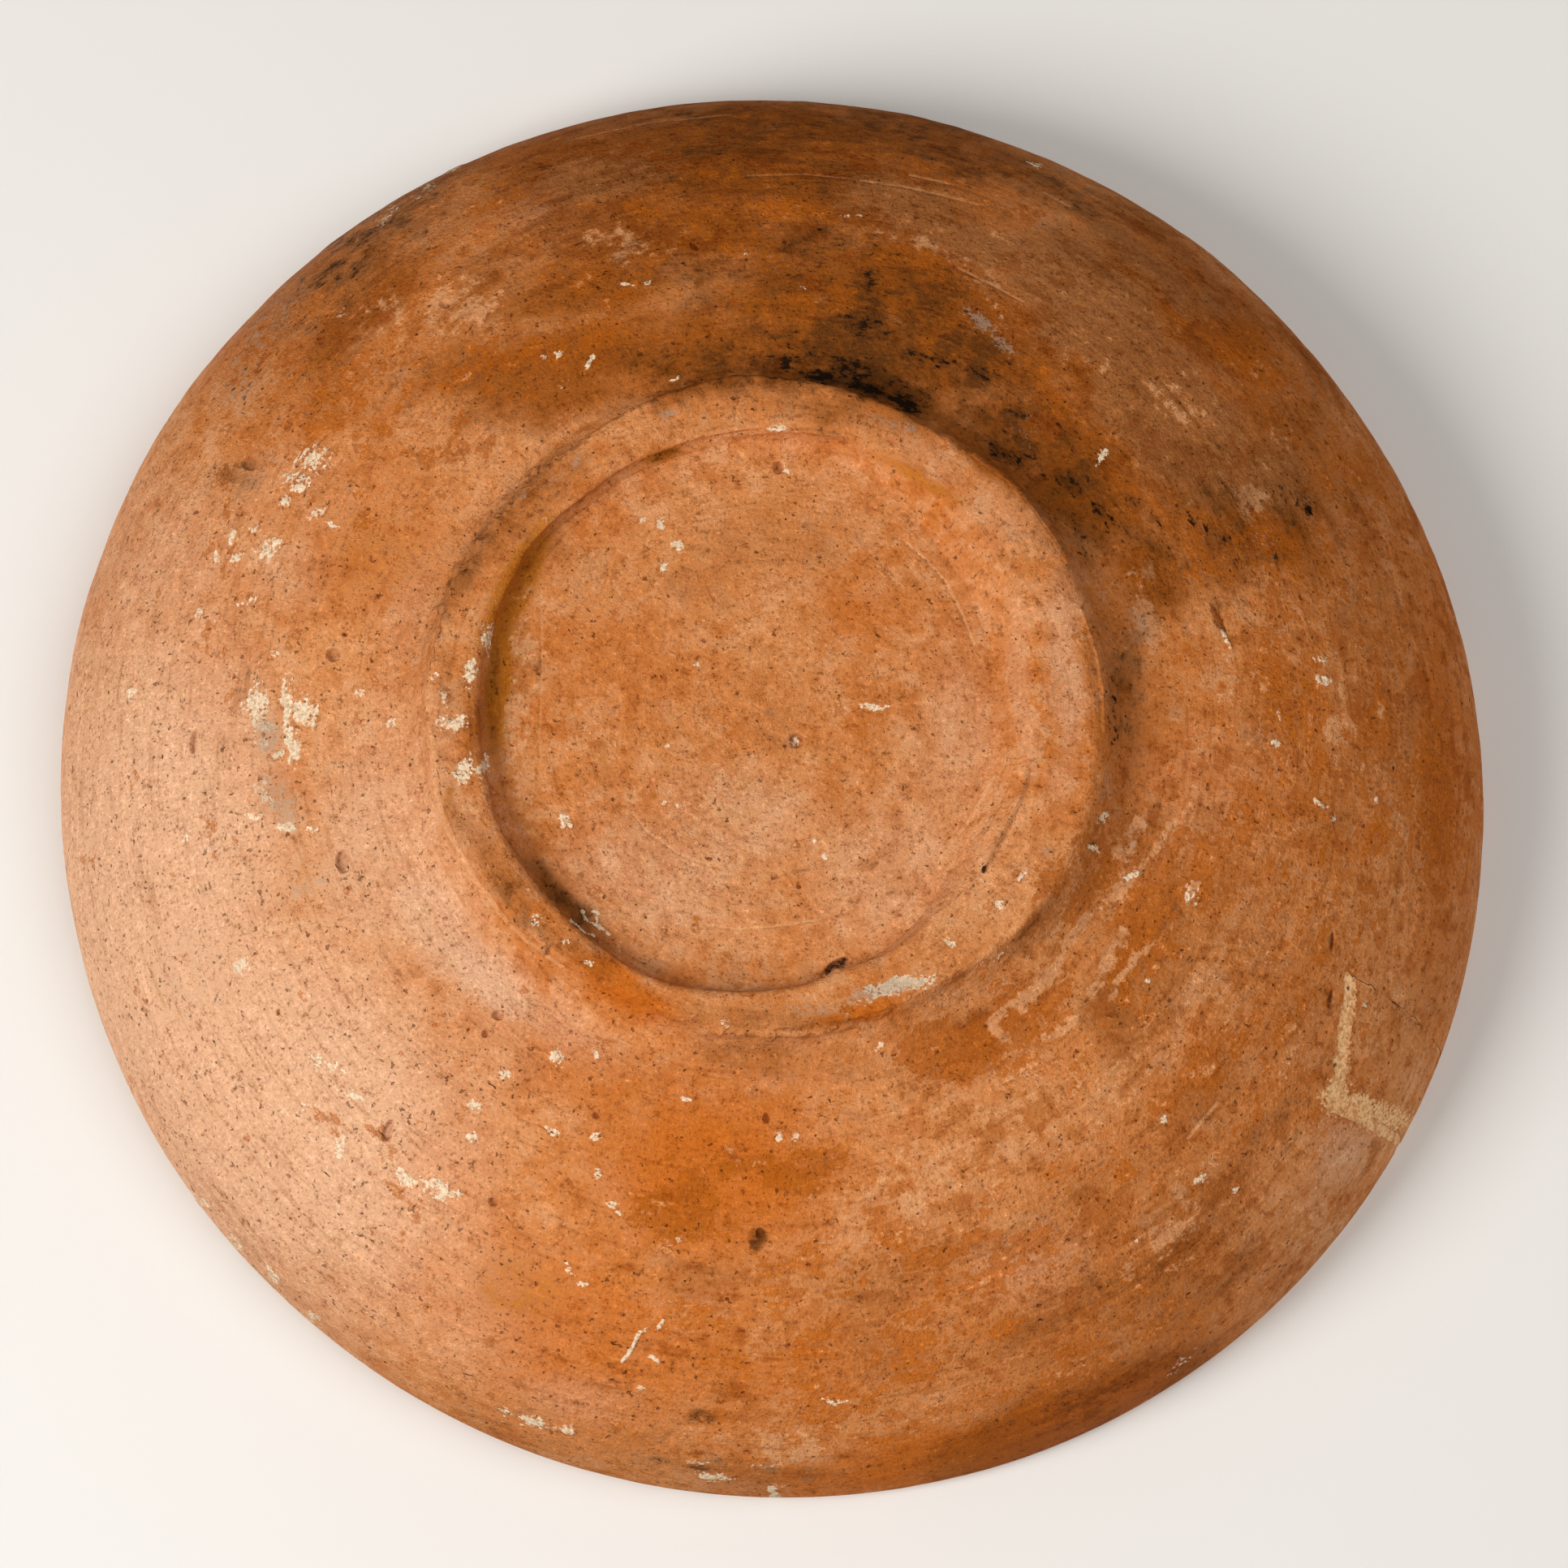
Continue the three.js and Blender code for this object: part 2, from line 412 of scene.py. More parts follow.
def dish_profile():
    """Radii and heights from the middle of the base, out round the lip and back to the floor's middle."""
    quarter = np.linspace(-math.pi / 2, 0, CURVE_STEPS)
    half = np.linspace(0, math.pi, LIP_STEPS)
    lip = LIP_THICKNESS / 2
    radius = np.concatenate((
        np.linspace(0, BASE_RADIUS, FLAT_STEPS),
        BASE_RADIUS + (RIM_RADIUS - BASE_RADIUS) * np.cos(quarter[1:]),
        RIM_RADIUS - lip + lip * np.cos(half[1:]),
        FLOOR_RADIUS + (MOUTH_RADIUS - FLOOR_RADIUS) * np.cos(quarter[::-1][1:]),
        np.linspace(FLOOR_RADIUS, 0, FLAT_STEPS)[1:],
    ))
    height = np.concatenate((
        np.full(FLAT_STEPS, BASE_Z),
        SHOULDER_Z + (SHOULDER_Z - BASE_Z) * np.sin(quarter[1:]),
        SHOULDER_Z + lip * np.sin(half[1:]),
        SHOULDER_Z + (SHOULDER_Z - FLOOR_Z) * np.sin(quarter[::-1][1:]),
        np.full(FLAT_STEPS - 1, FLOOR_Z),
    ))
    length = np.concatenate(((0,), np.cumsum(np.hypot(np.diff(radius), np.diff(height)))))
    lip_end = length[FLAT_STEPS + CURVE_STEPS + LIP_STEPS - 3]
    steps = np.concatenate((
        np.linspace(0, lip_end, round(lip_end / OUTSIDE_STEP), endpoint=False),
        np.linspace(lip_end, length[-1], round((length[-1] - lip_end) / INSIDE_STEP)),
    ))
    return np.interp(steps, length, radius), np.interp(steps, length, height)


def turned(radius, height):
    """Carries a row of radii and heights round the plate's axis."""
    turn = np.arange(DISH_TURNS) * math.tau / DISH_TURNS
    x = radius[:, None] * np.cos(turn)[None, :]
    y = radius[:, None] * np.sin(turn)[None, :]
    z = np.repeat(height[:, None], DISH_TURNS, axis=1)
    return np.stack((x, y, z), axis=-1).reshape(-1, 3)


def thrown_dish(name):
    """The whole thrown body, before the break."""
    radius, height = dish_profile()
    slope_r, slope_z = np.gradient(radius), np.gradient(height)
    size = np.hypot(slope_r, slope_z)
    points = turned(radius, height)
    points = points + turned(slope_z / size, -slope_r / size) * dish_relief(points)[:, None]
    points[:, 0], points[:, 1] = sagged(points[:, 0], points[:, 1])
    first, last = points[:DISH_TURNS].mean(axis=0), points[-DISH_TURNS:].mean(axis=0)
    inner = points[DISH_TURNS:-DISH_TURNS]
    bottom, top = len(inner), len(inner) + 1
    around = np.arange(DISH_TURNS)
    after = (around + 1) % DISH_TURNS
    last_row = len(inner) - DISH_TURNS
    faces = grid_faces(len(radius) - 2, DISH_TURNS, False).tolist()
    faces += np.stack((np.full(DISH_TURNS, bottom), after, around), axis=-1).tolist()
    faces += np.stack((np.full(DISH_TURNS, top), last_row + around, last_row + after), axis=-1).tolist()
    return object_of(name, mesh_of(name, np.vstack((inner, first, last)), faces))


def dish_relief(points):
    """How far the hand-made surface stands out from the true form, in metres."""
    radius = np.hypot(points[:, 0], points[:, 1])
    inside = points[:, 2] > (outside_z(radius) + inside_z(radius)) / 2
    lumps = SAGS.at(points) + GRIT.at(points) + DENTS.at(points) * np.where(inside, DENTS_INSIDE, 1)
    wheel = wheel_way(points, TURNING_LENGTH)
    turning = TURNING.at(wheel) + TURNING_FINE.at(wheel)
    turning *= np.where(radius > BASE_RADIUS, TURNING_ON_WALL, TURNING_ON_BASE)
    throwing = THROWING.at(wheel_way(points, THROWING_LENGTH)) * inside
    below = points[:, 2] < BASE_Z + 0.5 * FLOOR_THICKNESS
    bulge = FLOOR_BULGE * (1 - smooth(radius, BULGE_EDGE, BULGE_END)) * below
    kept = 1 - LIP_SMOOTHED * smooth(points[:, 2], SHOULDER_Z - LIP_DEPTH, SHOULDER_Z)
    return (lumps + turning + throwing) * MM * kept + bulge + random_pits(points)


def wheel_way(points, length):
    """Coordinates that change slowly round the wheel, by this length in a radian, and quickly across it."""
    radius = np.hypot(points[:, 0], points[:, 1])
    flat = points[:, :2] / np.maximum(radius, length)[:, None] * length
    return np.column_stack((flat, radius))


def random_pits(points):
    """Small holes where grit has dropped out of the clay, spread over both faces by a fixed seed."""
    chance = np.random.default_rng(PIT_SEED)
    depth = np.zeros(len(points))
    radius = np.hypot(points[:, 0], points[:, 1])
    outer = points[:, 2] < (outside_z(radius) + inside_z(radius)) / 2
    for _ in range(PIT_COUNT):
        turn = chance.uniform(0, math.tau)
        far = RIM_RADIUS * math.sqrt(chance.uniform(*PIT_SPREAD))
        reach = chance.uniform(*PIT_REACH) * MM
        deep = chance.uniform(*PIT_SINK) * MM
        below = chance.uniform() < PITS_BELOW
        x, y = far * math.cos(turn), far * math.sin(turn)
        beside = (abs(points[:, 0] - x) < reach) & (abs(points[:, 1] - y) < reach)
        near = np.nonzero(beside & (outer == below))[0]
        away = np.hypot(points[near, 0] - x, points[near, 1] - y) / reach
        depth[near] -= deep * (1 - smooth(away, 0.2, 1.0))
    return depth


def chaikin(points, rounds):
    """Rounds off closed outlines, one in each row, by cutting their corners."""
    for _ in range(rounds):
        after = np.roll(points, -1, axis=1)
        cut = np.stack((0.75 * points + 0.25 * after, 0.25 * points + 0.75 * after), axis=2)
        points = cut.reshape(points.shape[0], -1, points.shape[2])
    return points


def swept_ring(name, sections, angles, relief):
    """A closed ring with its own section, radius and height, at each angle."""
    x = sections[:, :, 0] * np.cos(angles)[:, None]
    y = sections[:, :, 0] * np.sin(angles)[:, None]
    points = np.stack((x, y, sections[:, :, 1]), axis=-1)
    steps = points.shape[1]
    along = np.roll(points, -1, axis=1) - np.roll(points, 1, axis=1)
    around = np.roll(points, -1, axis=0) - np.roll(points, 1, axis=0)
    normals = np.cross(around, along).reshape(-1, 3)
    normals /= np.linalg.norm(normals, axis=1)[:, None] + 1e-12
    flat = points.reshape(-1, 3)
    flat = flat + normals * relief(flat)[:, None]
    flat[:, 0], flat[:, 1] = sagged(flat[:, 0], flat[:, 1])
    # rows follow the section, columns go round the ring
    swapped = flat.reshape(len(angles), steps, 3).transpose(1, 0, 2).reshape(-1, 3)
    return object_of(name, mesh_of(name, swapped, grid_faces(steps, len(angles), True).tolist()))


def ring_edges(angles):
    """The ring's outer edge, its inner edge, the foot of its inner face and the notch, at each angle."""
    outer = round_the_ring(RING_OUTER_EDGE, RING_OUTER_Z, angles)
    edge = round_the_ring(RING_INNER_EDGE, RING_INNER_Z, angles)
    cove = by_direction(COVE_BY_DIRECTION, angles) * MM
    return outer, edge, edge - np.maximum(cove, INNER_FILLET), np.maximum(-cove, 0)


def ring_angles():
    """The angles round the ring, and the points on a circle where its unevenness is read."""
    angles = np.arange(RING_TURNS) * math.tau / RING_TURNS
    circle = np.column_stack((np.cos(angles), np.sin(angles), np.zeros(RING_TURNS))) * RING_RADIUS
    return angles, circle


def ring_relief(points):
    wheel = wheel_way(points, RING_TURNING_LENGTH)
    return (RING_LUMPS.at(points) + RING_GRIT.at(points) + RING_TURNING.at(wheel)) * MM


def foot_ring(name):
    """The applied ring, with its smeared joint."""
    angles, circle = ring_angles()
    outer, edge, foot, notch = ring_edges(angles)
    crest = np.maximum(CREST_MEAN + CREST.at(circle), 0) * MM
    apron = by_direction(APRON_BY_DIRECTION, angles) * MM * (1 + APRON_SHARE.at(circle))
    shoulder = by_direction(SHOULDER_BY_DIRECTION, angles) * MM
    step = by_direction(STEP_BY_DIRECTION, angles) * MM * (1 + STEP_SHARE.at(circle))
    buried = np.full(RING_TURNS, BASE_Z + RING_BURIED)
    level = np.ones(RING_TURNS) * MM
    floor_z = BASE_Z - FLOOR_BULGE
    width = np.maximum(outer - 1.2 * shoulder - edge, CREST_LEAST)
    cove = edge - foot
    soft = smooth(cove, STEEP_COVE, GENTLE_COVE)

    def sloped(steep, gentle):
        return steep + (gentle - steep) * soft

    def over_dish(share, above):
        """A point of the apron that lies by so many millimetres above the dish's outer face."""
        radius = outer + share * apron
        return radius, outside_z(radius) + above * level

    shape = (
        # the smeared joint, which dips into the dish and comes down to the ring's outer edge
        over_dish(1.4, 0.9),
        over_dish(1.1, 0.15),
        over_dish(0.85, -0.12),
        (outer + 0.55 * apron, step + 0.84 * (BASE_Z - step)),
        (outer + 0.25 * apron, step + 0.42 * (BASE_Z - step)),
        (outer + 0.02 * apron, step),
        # the rounded shoulder and the crest
        (outer - 0.35 * shoulder, crest + 0.45 * (step - crest)),
        (outer - 0.75 * shoulder, crest + 0.12 * (step - crest)),
        (outer - 1.2 * shoulder, crest),
        (edge + 0.30 * width, crest),
        (edge + 0.08 * width, crest + 0.25 * level),
        # the inner face, steep over a notch or sloped down a cove
        (sloped(edge - 0.1 * level, edge - 0.12 * cove), sloped(1.3 * level, crest + 0.45 * level)),
        (sloped(edge + notch, edge - 0.35 * cove), sloped(2.2 * level, crest + 1.3 * level)),
        (
            sloped(edge + 0.8 * notch - 0.2 * cove, edge - 0.62 * cove),
            sloped(3.2 * level, crest + 2.6 * level),
        ),
        (sloped(edge - 0.65 * cove, edge - 0.86 * cove), floor_z - 0.4 * level),
        # the foot of that face, and the part that is buried in the dish
        (foot, floor_z + 0.2 * level),
        (foot - 0.3 * level, buried),
        (foot + 0.5 * (outer - foot), buried),
    )
    sections = np.stack([np.column_stack(pair) for pair in shape], axis=1)

    def relief(points):
        """The ring's own unevenness, blended into the dish's along the apron."""
        turn = np.arctan2(points[:, 1], points[:, 0])
        past = np.hypot(points[:, 0], points[:, 1]) - np.interp(turn, angles, outer, period=math.tau)
        reach = np.interp(turn, angles, apron, period=math.tau)
        on_dish = smooth(past, 0.3 * reach, 0.9 * reach)
        return ring_relief(points) * (1 - on_dish) + dish_relief(points) * on_dish

    return swept_ring(name, chaikin(sections, 3), angles, relief)


def slip_ring(name):
    """The luting slip: it fills the joint and squeezes out as a thin fillet on both sides."""
    angles, circle = ring_angles()
    outer, _, foot, _ = ring_edges(angles)
    apron = by_direction(APRON_BY_DIRECTION, angles)
    mean_spread = np.minimum(SLIP_SPREAD_LEAST + SLIP_SPREAD_BY_APRON * apron, SLIP_SPREAD_MOST)
    outer_spread = (mean_spread + SLIP_SPREAD.at(circle)) * MM
    rise = (SLIP_RISE_MEAN + SLIP_RISE.at(circle)) * MM
    inner_spread = (SLIP_INSIDE_MEAN + SLIP_INSIDE.at(circle)) * MM
    buried = np.full(RING_TURNS, BASE_Z + SLIP_BURIED)
    shape = (
        # the fillet outside the ring
        (outer + outer_spread + 0.9 * MM, buried),
        (outer + 0.85 * outer_spread + 0.4 * MM, BASE_Z - 0.2 * rise),
        (outer + 0.55 * outer_spread, BASE_Z - 1.2 * rise),
        # under the ring
        (outer - 1.5 * MM, BASE_Z - 1.6 * rise),
        (foot + 1.5 * MM, BASE_Z - 1.2 * rise),
        # the fillet inside the ring, and the part that is buried in the dish
        (foot - 0.4 * inner_spread, BASE_Z - 0.6 * rise),
        (foot - inner_spread, buried),
        ((foot + outer) / 2, buried),
    )
    sections = np.stack([np.column_stack(pair) for pair in shape], axis=1)
    return swept_ring(name, chaikin(sections, 2), angles, lambda points: SLIP_GRIT.at(points) * MM)


def at(radius, angle):
    return np.array((radius * math.cos(angle), radius * math.sin(angle)))


def sherd_outline():
    return [
        at(RIM_RADIUS - CRACK_DEPTH, CRACK_ANGLE),
        at(RIM_RADIUS - BREAK_DEPTH, BREAK_ANGLE_INSIDE),
        at(RIM_RADIUS + PAST_RIM, BREAK_ANGLE_AT_RIM),
        at(RIM_RADIUS + PAST_RIM, CRACK_ANGLE),
    ]


def grown(corners, distances):
    """Moves each side of a convex outline, from a corner to the next, out by its own distance."""
    count = len(corners)
    middle = sum(corners) / count
    sides = []
    for i, corner in enumerate(corners):
        along = corners[(i + 1) % count] - corner
        along = along / np.linalg.norm(along)
        out = np.array((along[1], -along[0]))
        if out @ (corner - middle) < 0:
            out = -out
        sides.append((corner + out * distances[i], along))
    moved = []
    for i, (start, along) in enumerate(sides):
        before, before_along = sides[i - 1]
        cross = before_along[0] * along[1] - before_along[1] * along[0]
        between = start - before
        reach = (between[0] * along[1] - between[1] * along[0]) / cross
        moved.append(before + before_along * reach)
    return moved


def ragged(corners, seed):
    """An outline broken up into short steps that wander like a fracture."""
    points = []
    for i, corner in enumerate(corners):
        after = corners[(i + 1) % len(corners)]
        count = max(2, int(np.linalg.norm(after - corner) / FRACTURE_STEP))
        share = np.linspace(0, 1, count, endpoint=False)[:, None]
        points.append(corner + (after - corner) * share)
    points = np.vstack(points)
    at_height = np.column_stack((points, np.zeros(len(points))))
    lumps = [Lumps(FRACTURE_WANDER, FRACTURE_SIZE, first, 4, 0.7) for first in (seed, seed + 5)]
    return points + np.column_stack([one.at(at_height) for one in lumps])


def prism(name, outline):
    """An upright block over a plan outline, taller than the plate."""
    x, y = sagged(outline[:, 0], outline[:, 1])
    count = len(outline)
    low = np.column_stack((x, y, np.full(count, -CUTTER_MARGIN)))
    high = np.column_stack((x, y, np.full(count, HEIGHT + CUTTER_MARGIN)))
    faces = [list(range(count))[::-1], list(range(count, 2 * count))]
    faces += [[i, (i + 1) % count, count + (i + 1) % count, count + i] for i in range(count)]
    mesh = mesh_of(name, np.vstack((low, high)), faces)
    area = 0.5 * np.sum(x * np.roll(y, -1) - np.roll(x, -1) * y)
    if area < 0:
        mesh.flip_normals()
    return object_of(name, mesh)


def cut(target, cutter, operation):
    """Replaces the target's mesh by the result of cutting it with another solid."""
    modifier = target.modifiers.new("cut", "BOOLEAN")
    modifier.operation = operation
    modifier.solver = "MANIFOLD"
    modifier.object = cutter
    bpy.context.view_layer.update()
    graph = bpy.context.evaluated_depsgraph_get()
    mesh = bpy.data.meshes.new_from_object(target.evaluated_get(graph))
    target.modifiers.clear()
    old = target.data
    target.data = mesh
    mesh.name = target.name
    bpy.data.meshes.remove(old)


def lowered_copy(mesh, depth):
    """The same surface, sunk by a little."""
    copy = mesh.copy()
    move_points(copy, points_of(copy) - normals_of(copy) * depth)
    return copy


def drop(*made):
    for thing in made:
        mesh = thing.data
        bpy.data.objects.remove(thing)
        bpy.data.meshes.remove(mesh)


corners = sherd_outline()
sherd_line = ragged(corners, SHERD_SEED)
fill_line = ragged(grown(corners, [FILL_WIDTH, FILL_WIDTH, PAST_RIM, -CRACK_WIDTH]), FILL_SEED)
hole_line = ragged(grown(corners, [FILL_WIDTH, FILL_WIDTH, PAST_RIM, CRACK_WIDTH]), FILL_SEED)

dish = thrown_dish("thrown_dish")
sherd = object_of("mended_sherd", dish.data.copy())
fill = object_of("plaster_fill", lowered_copy(dish.data, FILL_SUNK))
hole_cutter = prism("hole_cutter", hole_line)
sherd_cutter = prism("sherd_cutter", sherd_line)
fill_cutter = prism("fill_cutter", fill_line)
cut(dish, hole_cutter, "DIFFERENCE")
cut(sherd, sherd_cutter, "INTERSECT")
cut(fill, fill_cutter, "INTERSECT")
cut(fill, sherd_cutter, "DIFFERENCE")
drop(hole_cutter, sherd_cutter, fill_cutter)
move_points(fill.data, np.clip(points_of(fill.data), CAD_BOX[0], CAD_BOX[1]))
ring = foot_ring("applied_foot_ring")
slip = slip_ring("luting_slip_fillet")


# Marks on the underside, placed in the photograph's pixels: u, v, half length, half width, turn in
# degrees clockwise, strength
TAN = {
    "left_side": (185, 1120, 180, 390, 0, 0.95),
    "lower_left": (335, 1370, 220, 290, -35, 0.95),
    "left_top": (190, 750, 120, 210, 15, 0.52),
    "left_of_ring": (470, 1050, 120, 200, 0, 0.6),
    "ring_lower_left": (535, 1130, 56, 100, -30, 0.8),
    "outside_lower_left": (600, 1205, 90, 36, 40, 0.9),
    "top_left_pale": (700, 255, 80, 50, 0, 0.5),
    "left_upper": (350, 600, 110, 130, 20, 0.3),
    "left_by_ring": (500, 760, 36, 120, 12, 0.35),
    "left_middle": (350, 950, 120, 160, 0, 0.25),
    "left_lime": (350, 705, 70, 60, 0, 0.42),
    "lower_right_low": (1260, 1560, 90, 70, -20, 0.4),
    "below_mend": (1655, 1410, 60, 46, -50, 0.5),
    "above_middle": (800, 330, 60, 24, 0, 0.3),
    "floor_upper_right": (1160, 705, 60, 70, 0, 0.22),
    "floor_middle": (1070, 930, 70, 60, 0, 0.16),
    "ring_right_low": (1308, 960, 24, 60, 5, 0.4),
    "lower_left_inner": (560, 1280, 150, 120, 30, 0.4),
    "below_ring_left": (690, 1270, 90, 40, 30, 0.5),
    "bottom_left_rim": (700, 1720, 90, 40, 15, 0.5),
    "bottom_left": (560, 1600, 150, 110, 25, 0.5),
    "floor_low": (900, 1010, 150, 80, 0, 0.42),
    "floor_lower_left": (810, 1080, 150, 100, 20, 0.46),
    "floor_lower_right": (1090, 1070, 130, 100, -20, 0.44),
    "floor_right": (1180, 900, 70, 170, 5, 0.4),
    "right_wall": (1480, 980, 150, 120, 0, 0.3),
    "floor_left": (690, 960, 60, 90, 0, 0.15),
    "cove_right": (1262, 850, 22, 130, -3, 0.45),
    "cove_upper_right": (1212, 660, 60, 22, 52, 0.3),
    # ring_right paints a highlight on the lit crest of the ring's right side
    "ring_right": (1316, 830, 24, 150, 0, 0.5),
    "ring_upper_right": (1225, 640, 60, 34, 48, 0.36),
    "ring_top_right": (1150, 575, 70, 24, 35, 0.4),
    "ring_lower_right": (1250, 1090, 70, 26, -50, 0.25),
}
BROWN = {
    "top": (880, 240, 330, 110, 0, 0.95),
    "top_middle": (930, 180, 240, 60, 0, 1.0),
    "top_left": (600, 330, 190, 90, -30, 0.45),
    "top_left_middle": (615, 365, 60, 44, 0, 0.65),
    "right_edge": (1640, 760, 50, 80, 0, 0.42),
    "below_ring_right": (1070, 1300, 60, 22, -5, 0.42),
    "upper_middle": (720, 365, 120, 50, -6, 0.95),
    "drip_side": (1240, 430, 100, 60, 45, 1.0),
    "ring_upper_left": (650, 640, 130, 26, -45, 0.7),
    # lower_right_broad and lower_right_shade paint shade where the light falls off towards the lower right
    "lower_right_broad": (1440, 1480, 280, 210, -40, 0.38),
    "upper_right": (1460, 510, 270, 190, 42, 0.72),
    "lower_right_shade": (1390, 1580, 220, 110, -36, 0.46),
    "top_left_low": (430, 400, 150, 60, -45, 0.6),
    "above_ring_left": (760, 440, 270, 60, -8, 0.95),
    "above_ring": (1060, 400, 200, 120, 15, 1.0),
    "right_of_soot": (1320, 560, 150, 80, 45, 0.95),
    "upper_right_rim": (1470, 390, 190, 60, 42, 0.95),
    "right_specks": (1540, 640, 130, 70, 20, 0.85),
    "right_shoulder": (1640, 640, 90, 120, 20, 0.6),
    "far_right": (1740, 830, 70, 330, -5, 0.22),
    "right_of_ring": (1410, 850, 60, 150, 0, 0.35),
    "right_of_ring_low": (1400, 1010, 56, 110, 15, 0.5),
    "outer_seam_right": (1324, 690, 26, 110, -24, 0.6),
    "ring_outer_right": (1346, 840, 10, 120, 0, 0.35),
    "right_of_ring_upper": (1410, 690, 60, 100, -20, 0.6),
    "outer_seam_upper": (1216, 570, 90, 22, 42, 0.85),
    "right_middle": (1570, 860, 150, 190, 0, 0.35),
    "lower_right_far": (1620, 1180, 150, 220, 10, 0.34),
    "lower_right_ring": (1260, 1240, 190, 50, -38, 0.5),
    "lower_right_middle": (1420, 1200, 150, 200, 30, 0.4),
    "lower_right_streak": (1560, 1400, 140, 30, -52, 0.6),
    "below_ring": (960, 1312, 190, 34, 2, 0.34),
    "bottom_band": (1150, 1560, 260, 70, -12, 0.3),
    "bottom_low": (960, 1670, 240, 90, 0, 0.3),
    "bottom_rim": (740, 1770, 170, 30, 12, 0.25),
    "lower_right_rim": (1330, 1740, 180, 46, -25, 1.0),
    # undercut_lower_left paints the shade in the undercut under the ring's lower left edge, together with
    # brown dirt
    "undercut_lower_left": (690, 1110, 70, 20, 50, 0.5),
    "floor_upper": (945, 665, 115, 46, 8, 0.4),
    "floor_middle": (850, 720, 60, 30, 30, 0.5),
    "floor_centre": (950, 890, 60, 40, 0, 0.35),
    # floor_left and floor_upper_left paint the ring's shadow on the base inside its left side
    "floor_left": (640, 820, 30, 120, 10, 0.35),
    "floor_upper_left": (704, 704, 44, 60, 40, 0.35),
    "ring_top": (880, 520, 90, 14, -5, 0.32),
    "ring_bottom_left": (850, 1240, 80, 18, 14, 0.35),
    "bottom_middle": (890, 1580, 110, 60, 0, 0.35),
    "ring_bottom": (960, 1252, 130, 18, 0, 0.5),
    "ring_left": (578, 890, 20, 60, -4, 0.75),
    "ring_left_low": (604, 1060, 22, 100, -32, 0.42),
    "ring_left_bottom": (716, 1178, 60, 16, 38, 0.4),
    "ring_lower_right": (1256, 1166, 90, 20, -48, 0.6),
}
ORANGE = {
    "bottom": (880, 1440, 170, 110, 0, 0.82),
    "bottom_left": (740, 1660, 210, 120, 20, 0.58),
    "below_ring_left": (740, 1340, 150, 60, 25, 0.5),
    "left_of_ring_top": (480, 640, 120, 110, -40, 0.4),
    "floor_stain": (1060, 755, 70, 55, 20, 0.5),
    "floor_left": (780, 830, 110, 90, 0, 0.4),
    "ring_low_left": (770, 1222, 75, 26, 33, 1.0),
    "ring_low": (1060, 1246, 60, 12, -12, 0.9),
    "far_right": (1775, 920, 40, 300, -2, 0.6),
    "rim_right_low": (1776, 1160, 40, 150, 8, 0.5),
    "rim_lower_right": (1570, 1570, 180, 40, -45, 0.25),
    "rim_bottom": (1150, 1795, 180, 36, -12, 0.85),
    "bottom_right": (1250, 1640, 250, 110, -20, 0.36),
    "bottom_middle": (1010, 1690, 100, 60, 0, 0.5),
    "above_ring_left": (790, 440, 170, 44, -5, 0.5),
    "lower_left_inner": (540, 1450, 80, 80, 0, 0.3),
    "right": (1600, 1250, 80, 190, 25, 0.25),
}
SLIP = {
    "worn_right": (1600, 1120, 220, 420, 20, 0.42),
    "worn_lower_right": (1330, 1420, 300, 220, -35, 0.33),
    "worn_bottom": (1120, 1620, 340, 150, -10, 0.42),
    "worn_top": (860, 290, 380, 150, 0, 0.4),
    "worn_upper_left": (500, 470, 240, 120, -35, 0.3),
    "worn_right_top": (1590, 700, 200, 220, 0, 0.42),
    "drip_above_ring": (1120, 355, 92, 52, 22, 1.0),
    "drip_middle": (1180, 425, 80, 38, 35, 0.95),
    "drip_low": (1300, 500, 50, 24, 52, 0.85),
    "drip_left": (1010, 350, 70, 50, 10, 0.55),
    "scalloped_drip": (1195, 1285, 105, 42, -17, 1.0),
    "scalloped_drip_up": (1270, 1235, 70, 40, -48, 0.8),
    "right_patch": (1330, 1090, 50, 90, 30, 0.75),
    "right_patch_low": (1420, 1130, 60, 110, 30, 0.8),
    "right_patch_far": (1500, 1060, 70, 120, 15, 0.6),
    "lower_right_band": (1480, 1330, 120, 40, -50, 0.65),
    "far_right_low": (1770, 1000, 40, 160, 2, 0.55),
    "far_right": (1690, 760, 50, 120, -12, 0.55),
    "right_top": (1450, 640, 90, 60, 40, 0.7),
    "right_inner": (1400, 700, 60, 60, 30, 0.55),
    "right_middle": (1580, 880, 60, 90, 10, 0.55),
    "bottom_tongue": (860, 1480, 70, 40, -8, 0.8),
    "bottom_tongue_right": (990, 1440, 60, 30, -15, 0.8),
    "bottom_band": (1200, 1540, 140, 26, -12, 0.7),
    "bottom_band_low": (1060, 1640, 90, 36, -8, 0.6),
    "bottom_right": (1310, 1750, 150, 36, -24, 1.0),
    "top_blotch": (900, 235, 70, 30, 0, 0.7),
    "top_blotch_left": (760, 255, 50, 25, -10, 0.6),
    "above_ring_left": (700, 425, 120, 28, -10, 0.7),
    "left_shoulder": (440, 480, 90, 30, -30, 0.55),
    "upper_right_rim": (1490, 395, 130, 28, 40, 0.75),
    "upper_right_edge": (1180, 185, 120, 18, 20, 0.6),
    "right_speck_patch": (1560, 650, 70, 40, 20, 0.75),
    "right_dabs_low": (1620, 1000, 60, 120, 5, 0.55),
    "right_dabs_edge": (1700, 900, 40, 120, -3, 0.55),
}
# A dull band, painted darker as shade where the light falls off, towards the upper right and along the top
DULL_AND_SHADE = {
    "start": (1200, 300, 120, 26, 18, 1.0),
    "upper": (1340, 384, 140, 60, 42, 1.05),
    "lower": (1440, 520, 130, 62, 50, 1.05),
    "end": (1570, 590, 60, 60, 45, 0.8),
    "rim": (1420, 330, 130, 26, 36, 0.7),
    "top": (1110, 250, 90, 30, 8, 0.75),
    "top_left": (740, 215, 110, 36, -8, 0.7),
}
